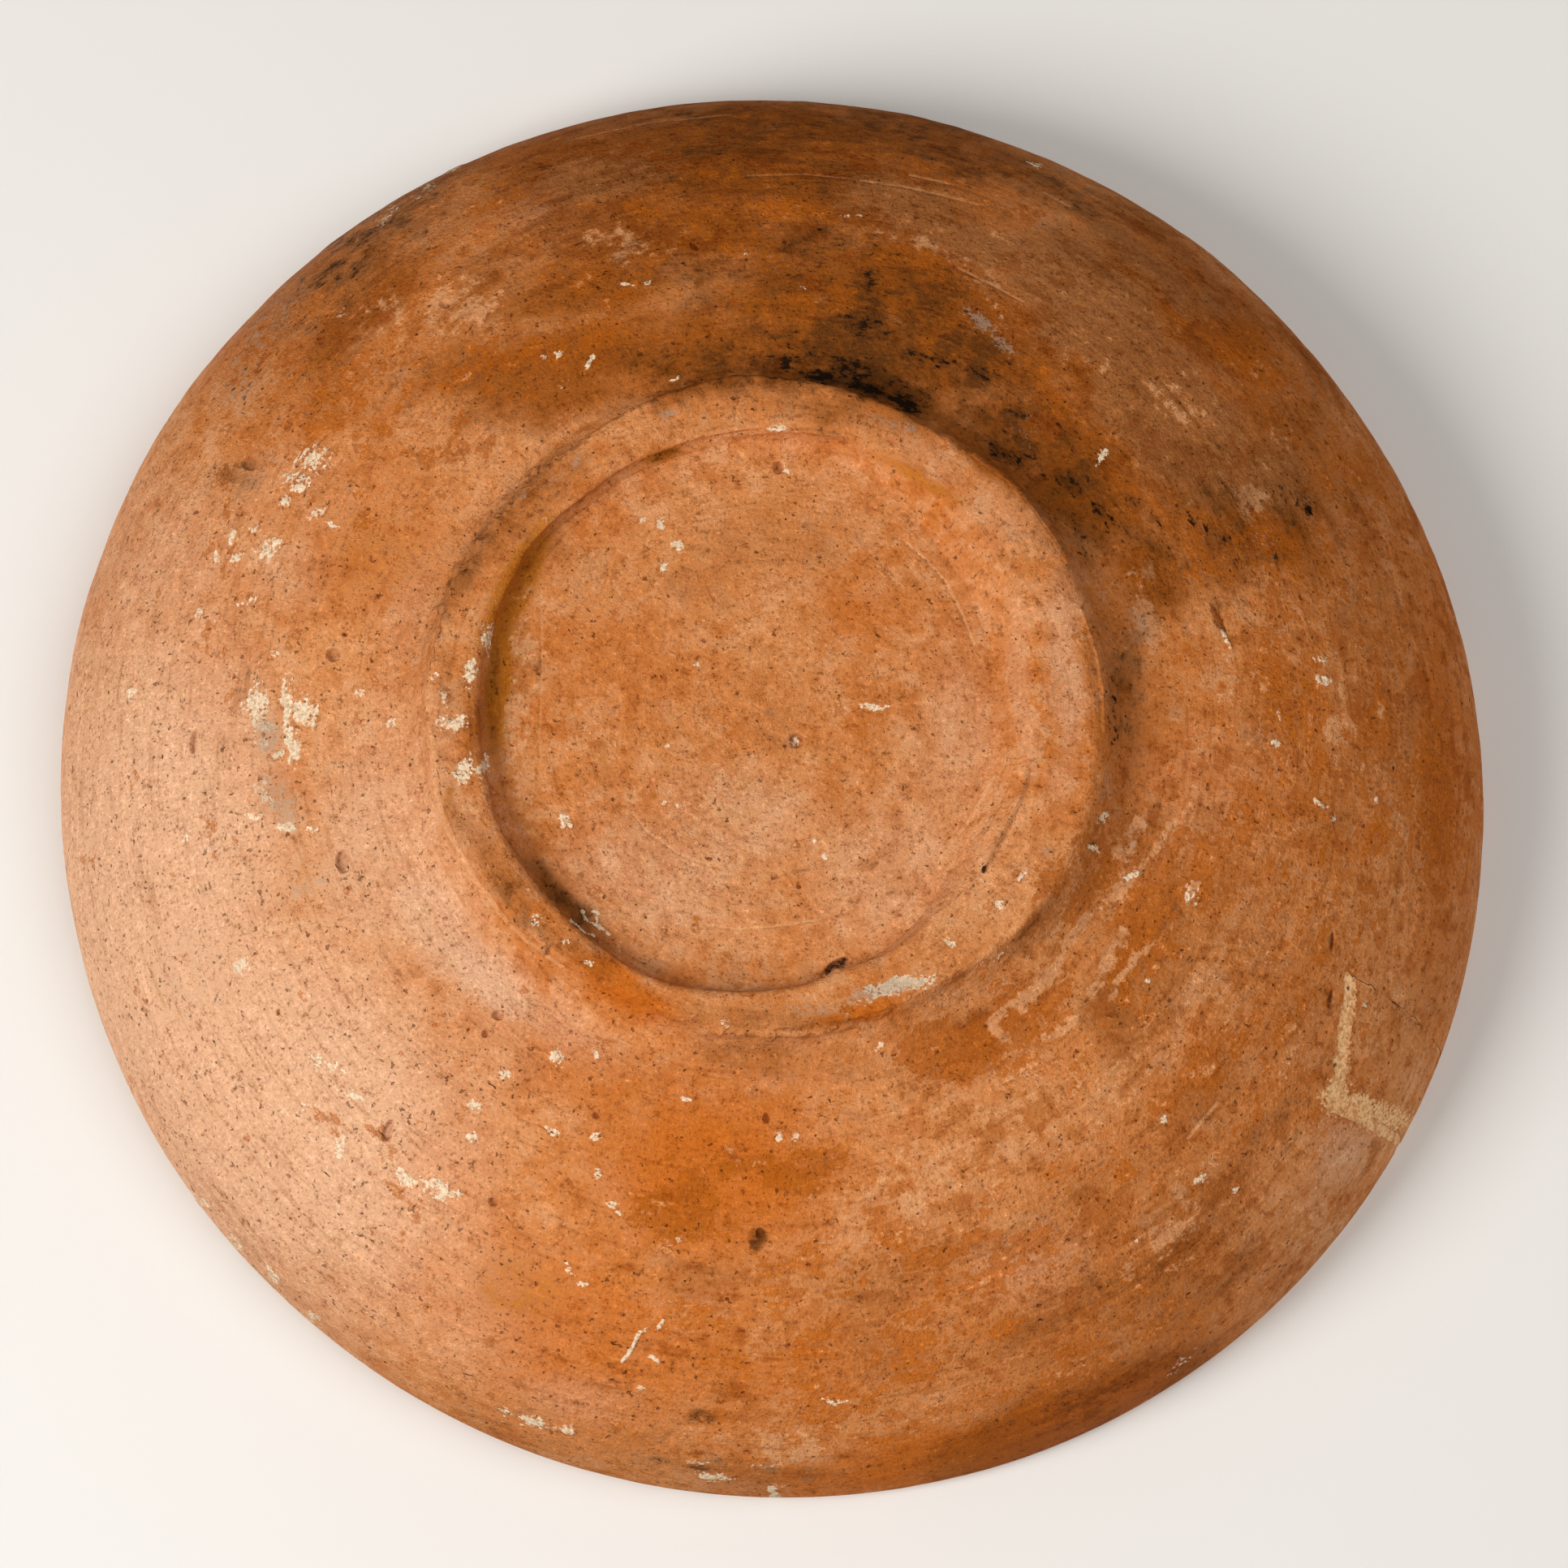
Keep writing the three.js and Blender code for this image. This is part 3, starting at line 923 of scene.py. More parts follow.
PALE = {
    "round_spot": (1546, 615, 20, 24, 0, 1.0),
    "upper_right_wall": (1370, 430, 250, 70, 42, 0.12),
    "upper_right_low": (1560, 570, 130, 60, 50, 0.2),
    "right_of_ring": (1408, 765, 34, 60, -15, 0.55),
    "right_grey": (1395, 1040, 24, 60, 20, 0.6),
    "below_scallop": (1240, 1400, 170, 60, -25, 0.5),
    "below_scallop_right": (1390, 1330, 110, 40, -45, 0.45),
    "right_low_band": (1500, 1210, 60, 110, 30, 0.5),
    "lower_right_dome": (1450, 1500, 90, 50, -45, 0.5),
    "lower_right_rim": (1640, 1500, 130, 60, -55, 0.5),
    "beside_mend": (1590, 1300, 20, 50, 20, 0.4),
    "top_left": (560, 380, 60, 30, -20, 0.7),
    "top_left_far": (480, 380, 40, 26, -20, 0.6),
    "above_left": (640, 300, 60, 30, 0, 0.4),
    "above_middle": (780, 300, 60, 26, -5, 0.6),
    "floor_spot": (878, 563, 22, 16, 0, 0.95),
    "floor_middle": (890, 985, 60, 40, 0, 0.6),
    "floor_left_band": (645, 850, 22, 110, 4, 0.6),
    "bottom_pale": (1120, 1460, 120, 45, -15, 0.6),
    "bottom_rim": (940, 1780, 80, 26, 5, 0.6),
    "right_middle": (1520, 820, 40, 70, 0, 0.5),
    "right_edge": (1660, 880, 24, 90, 0, 0.5),
}
PALE_STROKES = {
    "abraded_line": (((1444, 1020), (1430, 1052), (1398, 1086), (1372, 1112)), 7, 0.78),
    "abraded_upper": (((1385, 1092), (1352, 1130), (1338, 1142), (1326, 1167)), 8, 0.86),
    "abraded_middle": (((1340, 1150), (1318, 1160), (1304, 1192), (1284, 1212), (1262, 1240)), 9, 0.88),
    "abraded_foot": (((1278, 1208), (1250, 1238), (1232, 1262), (1246, 1280)), 7, 0.8),
    "abraded_branch": (((1386, 1150), (1372, 1180), (1362, 1196), (1352, 1222)), 8, 0.82),
    "abraded_branch_right": (((1440, 1140), (1420, 1160), (1396, 1190), (1362, 1230)), 5, 0.76),
    "abraded_speck_line": (((1478, 1090), (1466, 1116), (1440, 1150)), 4, 0.7),
    "abraded_low": (((1325, 1255), (1300, 1275), (1268, 1290), (1240, 1300)), 6, 0.7),
    "right_streak": (((1640, 760), (1652, 860), (1650, 960)), 7, 0.55),
    "upper_right_streak": (((1160, 320), (1205, 352), (1225, 385), (1250, 420)), 6, 0.5),
    "upper_right_edge": (((1080, 290), (1130, 300), (1180, 320), (1230, 352)), 8, 0.6),
    "ring_cove_right": (((1236, 690), (1268, 760), (1283, 840), (1284, 930)), 5, 0.5),
}
SOOT = {
    "black_at_ring": (1114, 496, 26, 11, 30, 1.25),
    "black_at_ring_middle": (1066, 478, 30, 9, 22, 1.1),
    "black_at_ring_left": (1006, 462, 26, 8, 14, 1.1),
    "black_left": (962, 446, 12, 18, 40, 0.85),
    "cloud_at_ring": (1050, 460, 88, 28, 16, 0.7),
    "cloud_core": (1052, 456, 40, 16, 12, 0.92),
    "cloud_left": (975, 442, 60, 14, 5, 0.5),
    "cloud_above": (1064, 408, 28, 24, 0, 0.56),
    "line_above": (1072, 356, 8, 40, -6, 0.66),
    "line_left": (1050, 387, 14, 12, 0, 0.62),
    "patch_right": (1150, 440, 46, 9, 24, 0.66),
    "patch_right_far": (1216, 464, 40, 8, 28, 0.56),
    "trail_one": (1252, 505, 40, 12, 40, 0.46),
    "trail_two": (1296, 588, 62, 12, 32, 0.66),
    "trail_three": (1345, 620, 66, 10, 42, 0.52),
    "trail_four": (1226, 552, 34, 10, 40, 0.66),
    "trail_five": (1410, 632, 54, 9, 40, 0.42),
    "trail_top": (1330, 530, 34, 10, 52, 0.46),
    "trail_low": (1330, 665, 10, 44, -26, 0.6),
    "far_one": (1508, 608, 18, 12, 0, 0.54),
    "far_two": (1586, 606, 34, 16, 30, 0.56),
    "far_three": (1490, 664, 42, 20, 30, 0.58),
    "far_four": (1546, 692, 40, 14, 0, 0.52),
    "far_five": (1614, 630, 8, 11, 0, 0.85),
    "beside_ring": (1376, 880, 14, 66, 3, 0.42),
    "beside_ring_top": (1364, 800, 12, 40, -6, 0.34),
    "hole_edge": (1032, 1191, 16, 6, -28, 1.1),
    "ring_top": (925, 497, 26, 13, 0, 0.42),
    "left_of_ring_top": (500, 440, 40, 14, -10, 0.45),
    "upper_left_rim": (420, 320, 80, 20, -48, 0.5),
    "left_shoulder": (300, 470, 40, 20, -50, 0.45),
    "groove_end": (1214, 1072, 4, 6, 20, 0.7),
}
# Soil and soot stains, and painted shade: some of these marks darken the shadow that the foot ring casts
# inside it
GRIME_AND_SHADE = {
    "above_ring": (1045, 432, 130, 60, 12, 1.1),
    "soot_cloud": (1054, 464, 92, 30, 16, 1.5),
    "right_of_soot": (1210, 455, 100, 40, 42, 0.95),
    "soot_far": (1056, 305, 60, 30, 10, 0.5),
    "ring_upper_right": (1296, 680, 22, 60, -30, 0.3),
    "right_of_ring_upper": (1410, 690, 44, 80, -20, 0.55),
    "lower_right": (1360, 1540, 200, 80, -36, 0.2),
    "above_ring_left": (900, 446, 130, 30, -3, 0.9),
    "soot_trail": (1290, 560, 130, 54, 45, 0.85),
    "soot_column": (1066, 376, 28, 70, -8, 1.0),
    "right_of_ring": (1386, 850, 26, 110, 3, 0.5),
    "lower_right_of_ring": (1356, 1010, 18, 50, 15, 0.25),
    "upper_left_rim": (450, 300, 190, 40, -42, 0.75),
    "top_rim": (1000, 150, 260, 18, 2, 0.8),
    "top": (980, 350, 250, 46, 6, 0.6),
    "top_high": (890, 222, 130, 30, 0, 0.6),
    "top_dark": (900, 182, 90, 22, 0, 0.85),
    "top_centre": (1000, 222, 70, 24, 0, 0.7),
    "top_middle": (1000, 300, 70, 26, 0, 0.75),
    "top_right_rim": (1180, 195, 90, 24, 15, 0.8),
    "top_right_rim_low": (1300, 232, 80, 22, 28, 0.75),
    "left_rim": (330, 400, 70, 24, -48, 0.5),
    # top_notch paints the shadow line under the foot ring's overhanging inner edge
    "top_notch": (818, 556, 24, 6, -12, 1.2),
    "drip": (1140, 375, 110, 60, 26, 0.7),
    "bottom_rim": (700, 1750, 120, 16, 17, 0.25),
    "bottom_rim_right": (900, 1812, 120, 14, 4, 0.6),
    "ring_groove_upper_left": (578, 690, 18, 110, 28, 0.2),
    "ring_seam_lower_left": (640, 1120, 12, 80, -42, 0.5),
    "ring_left": (565, 860, 20, 110, 0, 0.2),
    "ring_top": (1030, 510, 110, 14, 8, 0.5),
    "far_specks": (1540, 640, 110, 60, 20, 0.66),
    "lower_right_dark": (1560, 1395, 110, 24, -52, 0.3),
    # floor_bottom, floor_lower_left, floor_left and left_shadow paint the shadow that the foot ring casts
    # on the base inside it; floor_lower_left also stands for dirt in that crevice
    "floor_bottom": (960, 1195, 170, 20, 3, 0.3),
    "floor_lower_left": (696, 1112, 70, 13, 50, 0.75),
    "floor_left": (608, 860, 14, 70, 2, 0.5),
    "left_shadow": (612, 880, 16, 60, 0, 0.3),
    "upper_left_pit": (308, 566, 16, 16, 0, 0.5),
    "left_wall": (300, 580, 40, 30, -50, 0.5),
    "bottom_pit": (938, 1522, 10, 11, 0, 0.9),
    "bottom_spot": (863, 1746, 13, 12, 0, 0.8),
    "left_crack": (295, 845, 7, 34, 12, 0.5),
    "right_gouge": (1502, 762, 7, 32, -25, 0.8),
    "mend_gouge": (1642, 1160, 5, 18, 5, 0.55),
    "mend_gouge_low": (1640, 1232, 6, 18, 12, 0.7),
    "floor_oval": (1120, 976, 8, 11, 0, 0.6),
}
OCHRE = {
    "inside_upper_left": (636, 725, 20, 80, 28, 1.2),
    "inside_left": (616, 830, 16, 90, 4, 1.1),
    "inside_upper_right": (1130, 588, 64, 8, 30, 0.62),
    "top_notch": (815, 560, 26, 10, -14, 0.9),
    "left_of_ring": (470, 690, 90, 70, 0, 0.35),
    "floor_chip": (804, 984, 5, 5, 0, 0.9),
    "floor_speck": (857, 1134, 6, 4, 0, 0.9),
    "ring_outer_left": (552, 1000, 7, 60, 12, 0.4),
    "bottom_left": (640, 1590, 70, 50, 20, 0.45),
}
LIME = {
    "left_top_a": (384, 566, 26, 20, -20, 0.72), "left_top_b": (364, 594, 16, 13, 0, 0.85),
    "left_top_c": (350, 622, 6, 12, 10, 0.9), "left_top_d": (393, 631, 11, 6, -40, 0.85),
    "left_top_e": (407, 643, 9, 4, 0, 0.8), "left_a": (286, 658, 9, 14, 15, 0.75),
    "left_b": (314, 651, 8, 5, 0, 0.7), "left_c": (335, 676, 17, 17, 20, 0.88),
    "left_d": (292, 686, 9, 6, -40, 0.8), "left_e": (264, 689, 5, 9, 10, 0.65),
    "left_f": (248, 756, 9, 7, -30, 0.7), "left_g": (306, 738, 16, 5, -25, 0.6),
    "left_h": (337, 805, 7, 5, 0, 0.9), "left_i": (161, 849, 8, 9, 0, 0.75),
    "main_left": (318, 880, 17, 36, -10, 0.85), "main_right": (373, 874, 17, 18, 20, 0.95),
    "main_streak": (354, 868, 7, 30, 2, 1.15), "main_streak_low": (360, 915, 9, 30, -18, 1.15),
    "main_low": (343, 930, 9, 6, 0, 0.8), "main_low_right": (366, 925, 10, 22, -12, 0.7),
    "low_a": (345, 1017, 11, 8, 0, 0.8), "low_b": (383, 1018, 9, 7, 0, 0.75),
    "low_c": (311, 1001, 10, 7, 0, 0.7), "low_d": (330, 975, 16, 14, 20, 0.55),
    "mid_a": (474, 889, 8, 5, 0, 0.8), "mid_b": (443, 851, 6, 7, 0, 0.75),
    "far_a": (228, 1035, 8, 9, 0, 0.6), "far_b": (258, 1040, 9, 10, 0, 0.6),
    "low_left_a": (300, 1190, 9, 11, 0, 0.75), "low_left_b": (400, 1312, 26, 8, 30, 0.72),
    "low_left_c": (432, 1350, 16, 9, 20, 0.7), "low_left_d": (416, 1414, 9, 16, 0, 0.85),
    "low_left_e": (500, 1446, 20, 8, 30, 0.85), "low_left_f": (538, 1468, 20, 10, 15, 0.95),
    "low_left_g": (565, 1474, 8, 6, 0, 0.8), "low_left_h": (380, 1360, 10, 8, 0, 0.6),
    "rim_a": (245, 1480, 10, 14, 20, 0.65), "rim_b": (290, 1530, 18, 7, 45, 0.7),
    "rim_c": (340, 1570, 20, 7, 40, 0.65), "rim_d": (380, 1620, 16, 6, 35, 0.55),
    "wall_a": (617, 1321, 7, 8, 20, 0.85), "wall_b": (684, 1303, 8, 10, 0, 0.8),
    "wall_c": (736, 1302, 6, 3, 0, 0.8), "wall_d": (582, 1362, 10, 7, 0, 0.8),
    "wall_e": (575, 1403, 7, 9, 0, 0.85), "wall_f": (684, 1398, 11, 6, 20, 0.8),
    "wall_g": (739, 1401, 10, 7, 0, 0.75), "wall_h": (842, 1358, 5, 4, 0, 0.9),
    "wall_i": (960, 1396, 8, 6, -20, 0.95), "wall_j": (980, 1398, 8, 6, 0, 0.8),
    "wall_k": (1080, 1290, 7, 4, -45, 0.9), "wall_l": (737, 1448, 6, 8, 0, 0.85),
    "wall_m": (756, 1486, 7, 6, 30, 0.85), "wall_n": (767, 1498, 5, 5, 0, 0.85),
    "wall_o": (703, 1569, 6, 9, -20, 0.85), "wall_p": (715, 1589, 7, 5, 20, 0.85),
    "wall_q": (841, 1524, 7, 4, 0, 0.8), "wall_r": (786, 1715, 6, 4, 0, 0.9),
    "bottom_a": (625, 1741, 10, 6, 20, 0.7), "bottom_b": (655, 1751, 18, 6, 18, 0.8),
    "bottom_c": (695, 1763, 18, 6, 14, 0.85), "bottom_d": (860, 1801, 18, 4, 0, 0.75),
    "bottom_e": (880, 1820, 28, 5, 0, 0.9), "bottom_f": (956, 1836, 10, 8, 0, 0.85),
    "bottom_g": (940, 1805, 16, 4, 0, 0.6), "bottom_h": (1030, 1730, 16, 4, 0, 0.7),
    "ring_a": (597, 787, 8, 20, 18, 0.9), "ring_b": (574, 832, 10, 17, 5, 0.9),
    "ring_c": (535, 829, 6, 8, 0, 0.8), "ring_d": (556, 893, 19, 12, -20, 1.0),
    "ring_e": (574, 946, 14, 18, 10, 1.0), "ring_f": (598, 942, 6, 12, 0, 0.85),
    "ring_g": (545, 860, 6, 16, 0, 0.65), "ring_h": (694, 1160, 9, 6, 30, 0.7),
    "ring_i": (655, 1133, 9, 7, 30, 0.6), "ring_j": (891, 1266, 6, 6, 0, 0.8),
    "ring_k": (725, 1186, 7, 4, 30, 0.75), "ring_top": (958, 525, 10, 6, 0, 0.95),
    "ring_white": (1106, 1219, 40, 9, -14, 1.05), "ring_white_right": (1140, 1206, 16, 5, -25, 0.95),
    "ring_right": (1260, 1082, 12, 6, -20, 0.65), "ring_low": (1169, 1163, 6, 5, 0, 0.85),
    "ring_low_right": (1230, 1115, 5, 6, 0, 0.8), "ring_edge": (1238, 1180, 6, 14, 45, 0.6),
    "floor_a": (809, 650, 4, 10, 0, 0.9), "floor_b": (831, 672, 9, 6, 0, 0.9),
    "floor_c": (812, 694, 6, 7, 0, 0.9), "floor_d": (790, 642, 4, 4, 0, 0.8),
    "floor_chip": (697, 1010, 6, 13, -18, 1.0), "floor_dash": (1073, 868, 15, 4, 3, 1.0),
    "floor_hole": (984, 914, 5, 5, 0, 1.0), "floor_top_hole": (967, 577, 6, 5, 0, 0.85),
    "floor_e": (818, 997, 5, 5, 0, 0.75), "floor_f": (1015, 1062, 5, 5, 0, 0.75),
    "floor_g": (1006, 1038, 4, 4, 0, 0.75), "floor_h": (860, 822, 5, 3, 0, 0.8),
    "floor_i": (822, 921, 3, 4, 0, 0.8), "floor_j": (834, 1000, 5, 4, 0, 0.6),
    "right_a": (1629, 811, 6, 6, 0, 0.8), "right_b": (1632, 835, 6, 5, 40, 0.9),
    "right_c": (1578, 880, 3, 9, 0, 0.8), "right_d": (1570, 914, 5, 4, 0, 1.0),
    "right_e": (1628, 994, 8, 6, 30, 0.9), "right_f": (1640, 1010, 4, 9, -15, 0.9),
    "right_g": (1695, 987, 6, 7, 0, 0.8), "right_h": (1358, 1012, 7, 5, -30, 0.9),
    "right_i": (1349, 1042, 5, 4, 0, 0.85), "right_j": (1397, 1077, 9, 6, -25, 0.9),
    "right_k": (1471, 1104, 9, 10, 0, 0.75), "right_l": (1433, 1381, 5, 4, 0, 0.95),
    "right_m": (1479, 1457, 8, 6, -40, 0.8), "right_n": (1528, 1470, 5, 5, 0, 0.85),
    "right_o": (1405, 1533, 5, 4, 0, 0.9), "right_p": (1681, 1240, 4, 4, 0, 0.9),
    "right_q": (1354, 560, 5, 7, 20, 1.0), "right_r": (1412, 1215, 4, 4, 0, 0.8),
    "top_a": (800, 352, 5, 4, 0, 0.8), "top_b": (918, 310, 9, 3, 15, 0.5),
    "top_c": (770, 355, 12, 3, 0, 0.6),
    "top_d": (988, 355, 5, 3, 0, 0.8), "top_e": (670, 440, 5, 4, 0, 0.8), "top_f": (688, 436, 5, 4, 0, 0.8),
    "top_g": (727, 450, 4, 9, 25, 0.8), "top_h": (833, 466, 8, 4, -30, 0.8),
    "top_i": (690, 474, 5, 3, 30, 0.7),
    "top_j": (1045, 264, 12, 3, 5, 0.6), "top_k": (1275, 200, 14, 4, 30, 0.7),
    "top_l": (740, 230, 6, 4, 0, 0.5),
    "rim_top_a": (520, 232, 22, 7, -38, 0.62), "rim_top_b": (560, 205, 22, 5, -30, 0.6),
    "rim_top_c": (470, 262, 20, 7, -42, 0.6), "rim_top_d": (410, 380, 12, 10, -45, 0.55),
    "rim_low_right": (1450, 1680, 26, 8, -40, 0.5),
}
ROOTLETS = {
    "wall_stem": (((767, 1679), (780, 1662), (787, 1645), (798, 1638)), 2.6, 1.0),
    "wall_tip": (((808, 1640), (814, 1636), (817, 1629)), 2.4, 0.95),
    "wall_side": (((800, 1673), (806, 1674), (812, 1679)), 2.4, 0.95),
    "ring_loop": (((718, 1124), (722, 1134), (735, 1142), (737, 1126), (730, 1124)), 2.2, 1.0),
    "ring_stem": (((735, 1142), (748, 1148), (750, 1152)), 2.6, 1.0),
    "ring_side": (((703, 1135), (712, 1142), (722, 1151), (732, 1154)), 2.0, 0.95),
    "right_scratch": (((1506, 778), (1512, 790), (1516, 798)), 2.6, 1.0),
}
SCRATCHES = {
    "right_low": (((1464, 1403), (1480, 1383), (1500, 1360)), 2.4, 0.95),
    "floor_arc": (((1117, 670), (1145, 694), (1165, 717), (1185, 755), (1200, 794)), 2.2, 0.8),
    "floor_line": (((667, 722), (668, 800), (666, 880), (665, 957)), 2.6, 0.5),
    "top_a": (((1060, 222), (1110, 229), (1160, 240), (1205, 252)), 2.0, 0.6),
    "top_b": (((1120, 215), (1170, 226)), 2.0, 0.6),
    "top_c": (((1285, 236), (1318, 254)), 2.0, 0.6),
    "top_d": (((920, 216), (990, 214), (1050, 220)), 1.8, 0.5),
    "top_e": (((700, 172), (800, 150), (900, 140)), 1.8, 0.5),
    "top_f": (((1180, 330), (1225, 352), (1260, 372)), 2.0, 0.6),
    "floor_groove": (((1158, 1060), (1196, 1010), (1225, 957)), 2.4, 0.85),
    "floor_low": (((868, 1140), (905, 1146), (950, 1143), (1002, 1136)), 2.0, 0.75),
    "floor_left": (((779, 1002), (800, 1028), (838, 1054), (877, 1069)), 2.0, 0.65),
    "floor_long": (((1030, 1045), (1065, 1015), (1105, 975)), 1.8, 0.55),
    "rim_low_right": (((1754, 1298), (1744, 1330), (1728, 1366)), 2.2, 0.9),
    "rim_low_right_b": (((1730, 1372), (1714, 1400), (1698, 1428)), 2.2, 0.9),
    "rim_low_right_c": (((1746, 1304), (1736, 1334), (1722, 1360)), 1.8, 0.8),
}
GROOVES = {
    "cove_right": (((1266, 960), (1256, 990), (1240, 1022), (1226, 1048), (1213, 1074)), 3.4, 1.0),
    "cove_right_b": (((1246, 972), (1232, 1005), (1214, 1035)), 2.6, 0.7),
    "cove_lower": (((1206, 1082), (1180, 1110), (1150, 1132)), 2.6, 0.5),
    "ring_top_line": (((900, 537), (930, 533), (965, 530), (1000, 531), (1030, 536)), 2.6, 0.8),
    "ring_outer_upper_right": (((1201, 561), (1244, 593), (1272, 629), (1297, 664), (1315, 693)), 2.4, 1.0),
    "ring_outer_right": (((1333, 753), (1351, 807), (1358, 849), (1361, 900)), 2.2, 0.6),
    "ring_bottom_outer": (((880, 1270), (930, 1276), (985, 1276), (1030, 1268)), 3.0, 0.7),
    "wall_left_crack": (((300, 812), (296, 835), (291, 862), (286, 880)), 2.6, 0.7),
    "wall_low": (((640, 1378), (668, 1388), (690, 1398)), 3.0, 0.6),
    "sherd_crack": (((1712, 1229), (1731, 1249), (1742, 1260), (1753, 1263), (1764, 1267)), 1.4, 0.5),
}
# Raised ridges along the ring's lit outer edge at the left and lower left; the scratch layer paints them
# pale as a painted highlight
RIDGES = {
    "ring_left": (((524, 900), (533, 944), (540, 976), (549, 1015), (565, 1047)), 3.4, 1.0),
    "ring_lower_left": (((565, 1047), (587, 1086), (612, 1122), (647, 1161), (693, 1193)), 3.0, 0.9),
}
GREY = {
    "left_main": (330, 905, 22, 36, 0, 0.8), "left_low": (344, 985, 26, 42, -20, 0.76),
    "ring_top": (825, 507, 14, 5, -8, 1.1), "ring_upper_left": (700, 580, 44, 10, -38, 0.62),
    "ring_upper_left_low": (650, 610, 20, 8, -45, 0.6), "drip_edge": (1205, 395, 30, 10, 35, 0.9),
    "drip_edge_low": (1240, 430, 26, 9, 50, 0.85), "right_of_ring": (1398, 1035, 14, 30, 25, 0.55),
    "right_pale": (1408, 770, 10, 34, -14, 0.5), "ring_white": (1090, 1222, 44, 9, -12, 1.1),
    "ring_low": (1000, 1245, 40, 10, -4, 0.6), "ring_bottom": (950, 1228, 30, 8, 0, 0.55),
    "trail": (1262, 530, 34, 20, 40, 0.34), "far": (1555, 670, 20, 14, 0, 0.5),
    "ring_right_low": (1290, 1052, 8, 10, 30, 0.8), "left_wall": (380, 1090, 60, 60, 0, 0.45),
    "left_wall_low": (240, 1200, 80, 90, 0, 0.42), "upper_left": (300, 470, 60, 40, -50, 0.5),
    "top_left": (330, 400, 90, 24, -50, 0.55), "ring_upper_right": (1090, 520, 50, 10, 18, 0.6),
}
PITS = {
    "left_slot": (239, 913, 5, 16, 8, 0.9), "left_hole": (411, 807, 9, 9, 0, 0.9),
    "left_low_hole": (423, 1062, 9, 15, 0, 0.9), "lower_left_hole": (478, 1395, 6, 15, 20, 0.9),
    "upper_left_hole": (308, 570, 12, 10, 0, 0.8), "left_crack": (296, 830, 4, 14, 15, 0.5),
    "left_crack_low": (292, 858, 4, 12, 5, 0.5), "floor_hole": (982, 913, 9, 9, 0, 0.9),
    "floor_top_hole": (960, 576, 8, 9, 0, 0.8), "dark_hole": (1032, 1191, 15, 6, -28, 1.2),
    "bottom_hole": (938, 1522, 7, 8, 0, 0.8), "bottom_slot": (760, 1705, 12, 4, 20, 0.7),
    "bottom_left_hole": (608, 1483, 8, 6, 30, 0.7), "bottom_dimple": (863, 1746, 11, 11, 0, 0.5),
    "right_gouge": (1502, 762, 7, 30, -25, 0.6), "mend_gouge": (1642, 1160, 4, 16, 5, 0.6),
    "mend_gouge_low": (1640, 1232, 5, 17, 12, 0.6), "groove_end": (1214, 1072, 4, 7, 20, 0.5),
    "top_hole": (548, 374, 10, 8, 0, 0.6), "top_chip": (856, 303, 9, 6, 30, 0.6),
    "floor_a": (868, 790, 5, 5, 0, 0.5), "floor_b": (1078, 626, 7, 5, 30, 0.5),
    "floor_c": (1086, 662, 5, 4, 0, 0.5),
    "floor_d": (958, 1081, 5, 6, 0, 0.5), "floor_e": (862, 1085, 5, 6, 0, 0.5),
    "floor_f": (985, 1093, 5, 5, 0, 0.6),
    "floor_g": (752, 1043, 6, 6, 0, 0.5), "wall_a": (614, 1252, 9, 8, 0, 0.7),
    "wall_b": (598, 1275, 6, 7, 0, 0.6),
    "wall_c": (672, 1390, 20, 5, 25, 0.5), "wall_d": (945, 1379, 6, 8, 0, 0.7),
    "wall_e": (735, 1376, 7, 5, 20, 0.6),
    "ring_pit": (672, 1172, 8, 9, 0, 0.6),
    "left_a": (172, 749, 8, 5, 0, 0.5), "left_b": (460, 688, 7, 10, 10, 0.5),
    "left_c": (425, 782, 5, 4, 0, 0.6),
    "left_d": (520, 975, 5, 6, 0, 0.6), "left_e": (163, 976, 5, 5, 0, 0.5),
    "left_f": (160, 1060, 4, 4, 0, 0.5),
    "spot_right": (1209, 461, 8, 5, 0, 0.4), "far_hole": (1613, 629, 6, 9, 0, 0.6),
}
CRUMBLED = {
    "outer_upper_left": (576, 700, 16, 120, 28, 1.3), "outer_left": (545, 860, 14, 110, 0, 0.9),
    "outer_upper_left_high": (660, 590, 90, 16, -45, 1.1),
    "outer_top": (850, 492, 130, 16, -12, 0.8), "outer_top_right": (1110, 520, 110, 16, 22, 0.8),
    "outer_bottom": (960, 1262, 160, 18, 0, 0.9), "outer_lower_left": (640, 1150, 16, 90, -45, 0.5),
    "crest_top": (940, 500, 150, 14, 2, 0.5), "outer_right": (1352, 860, 8, 150, 0, 0.3),
    "crest_lower_right": (1230, 1130, 100, 18, -48, 0.5),
    "inner_lower_left": (696, 1112, 70, 13, 50, 1.0),
}
SMEAR = {
    "corner": (1648, 1352, 19, 20, 0, 1.1), "corner_right": (1676, 1362, 26, 15, 20, 1.1),
    "low": (1702, 1374, 34, 14, 18, 1.0), "rim": (1730, 1380, 20, 12, 22, 0.7),
    "middle": (1655, 1305, 9, 40, 6, 0.75), "top": (1664, 1235, 7, 34, 4, 0.6),
}
DAPPLED = {
    "top": (900, 220, 420, 130, 0, 0.8),
    "upper_right": (1440, 460, 340, 170, 42, 0.75),
    "right": (1660, 900, 170, 380, 0, 0.85),
    "right_inner": (1480, 1050, 110, 230, 12, 0.7),
    "lower_right": (1380, 1420, 380, 220, -40, 0.85),
    "bottom": (1120, 1640, 340, 140, -8, 0.8),
    "upper_left": (520, 400, 260, 110, -35, 0.6),
}
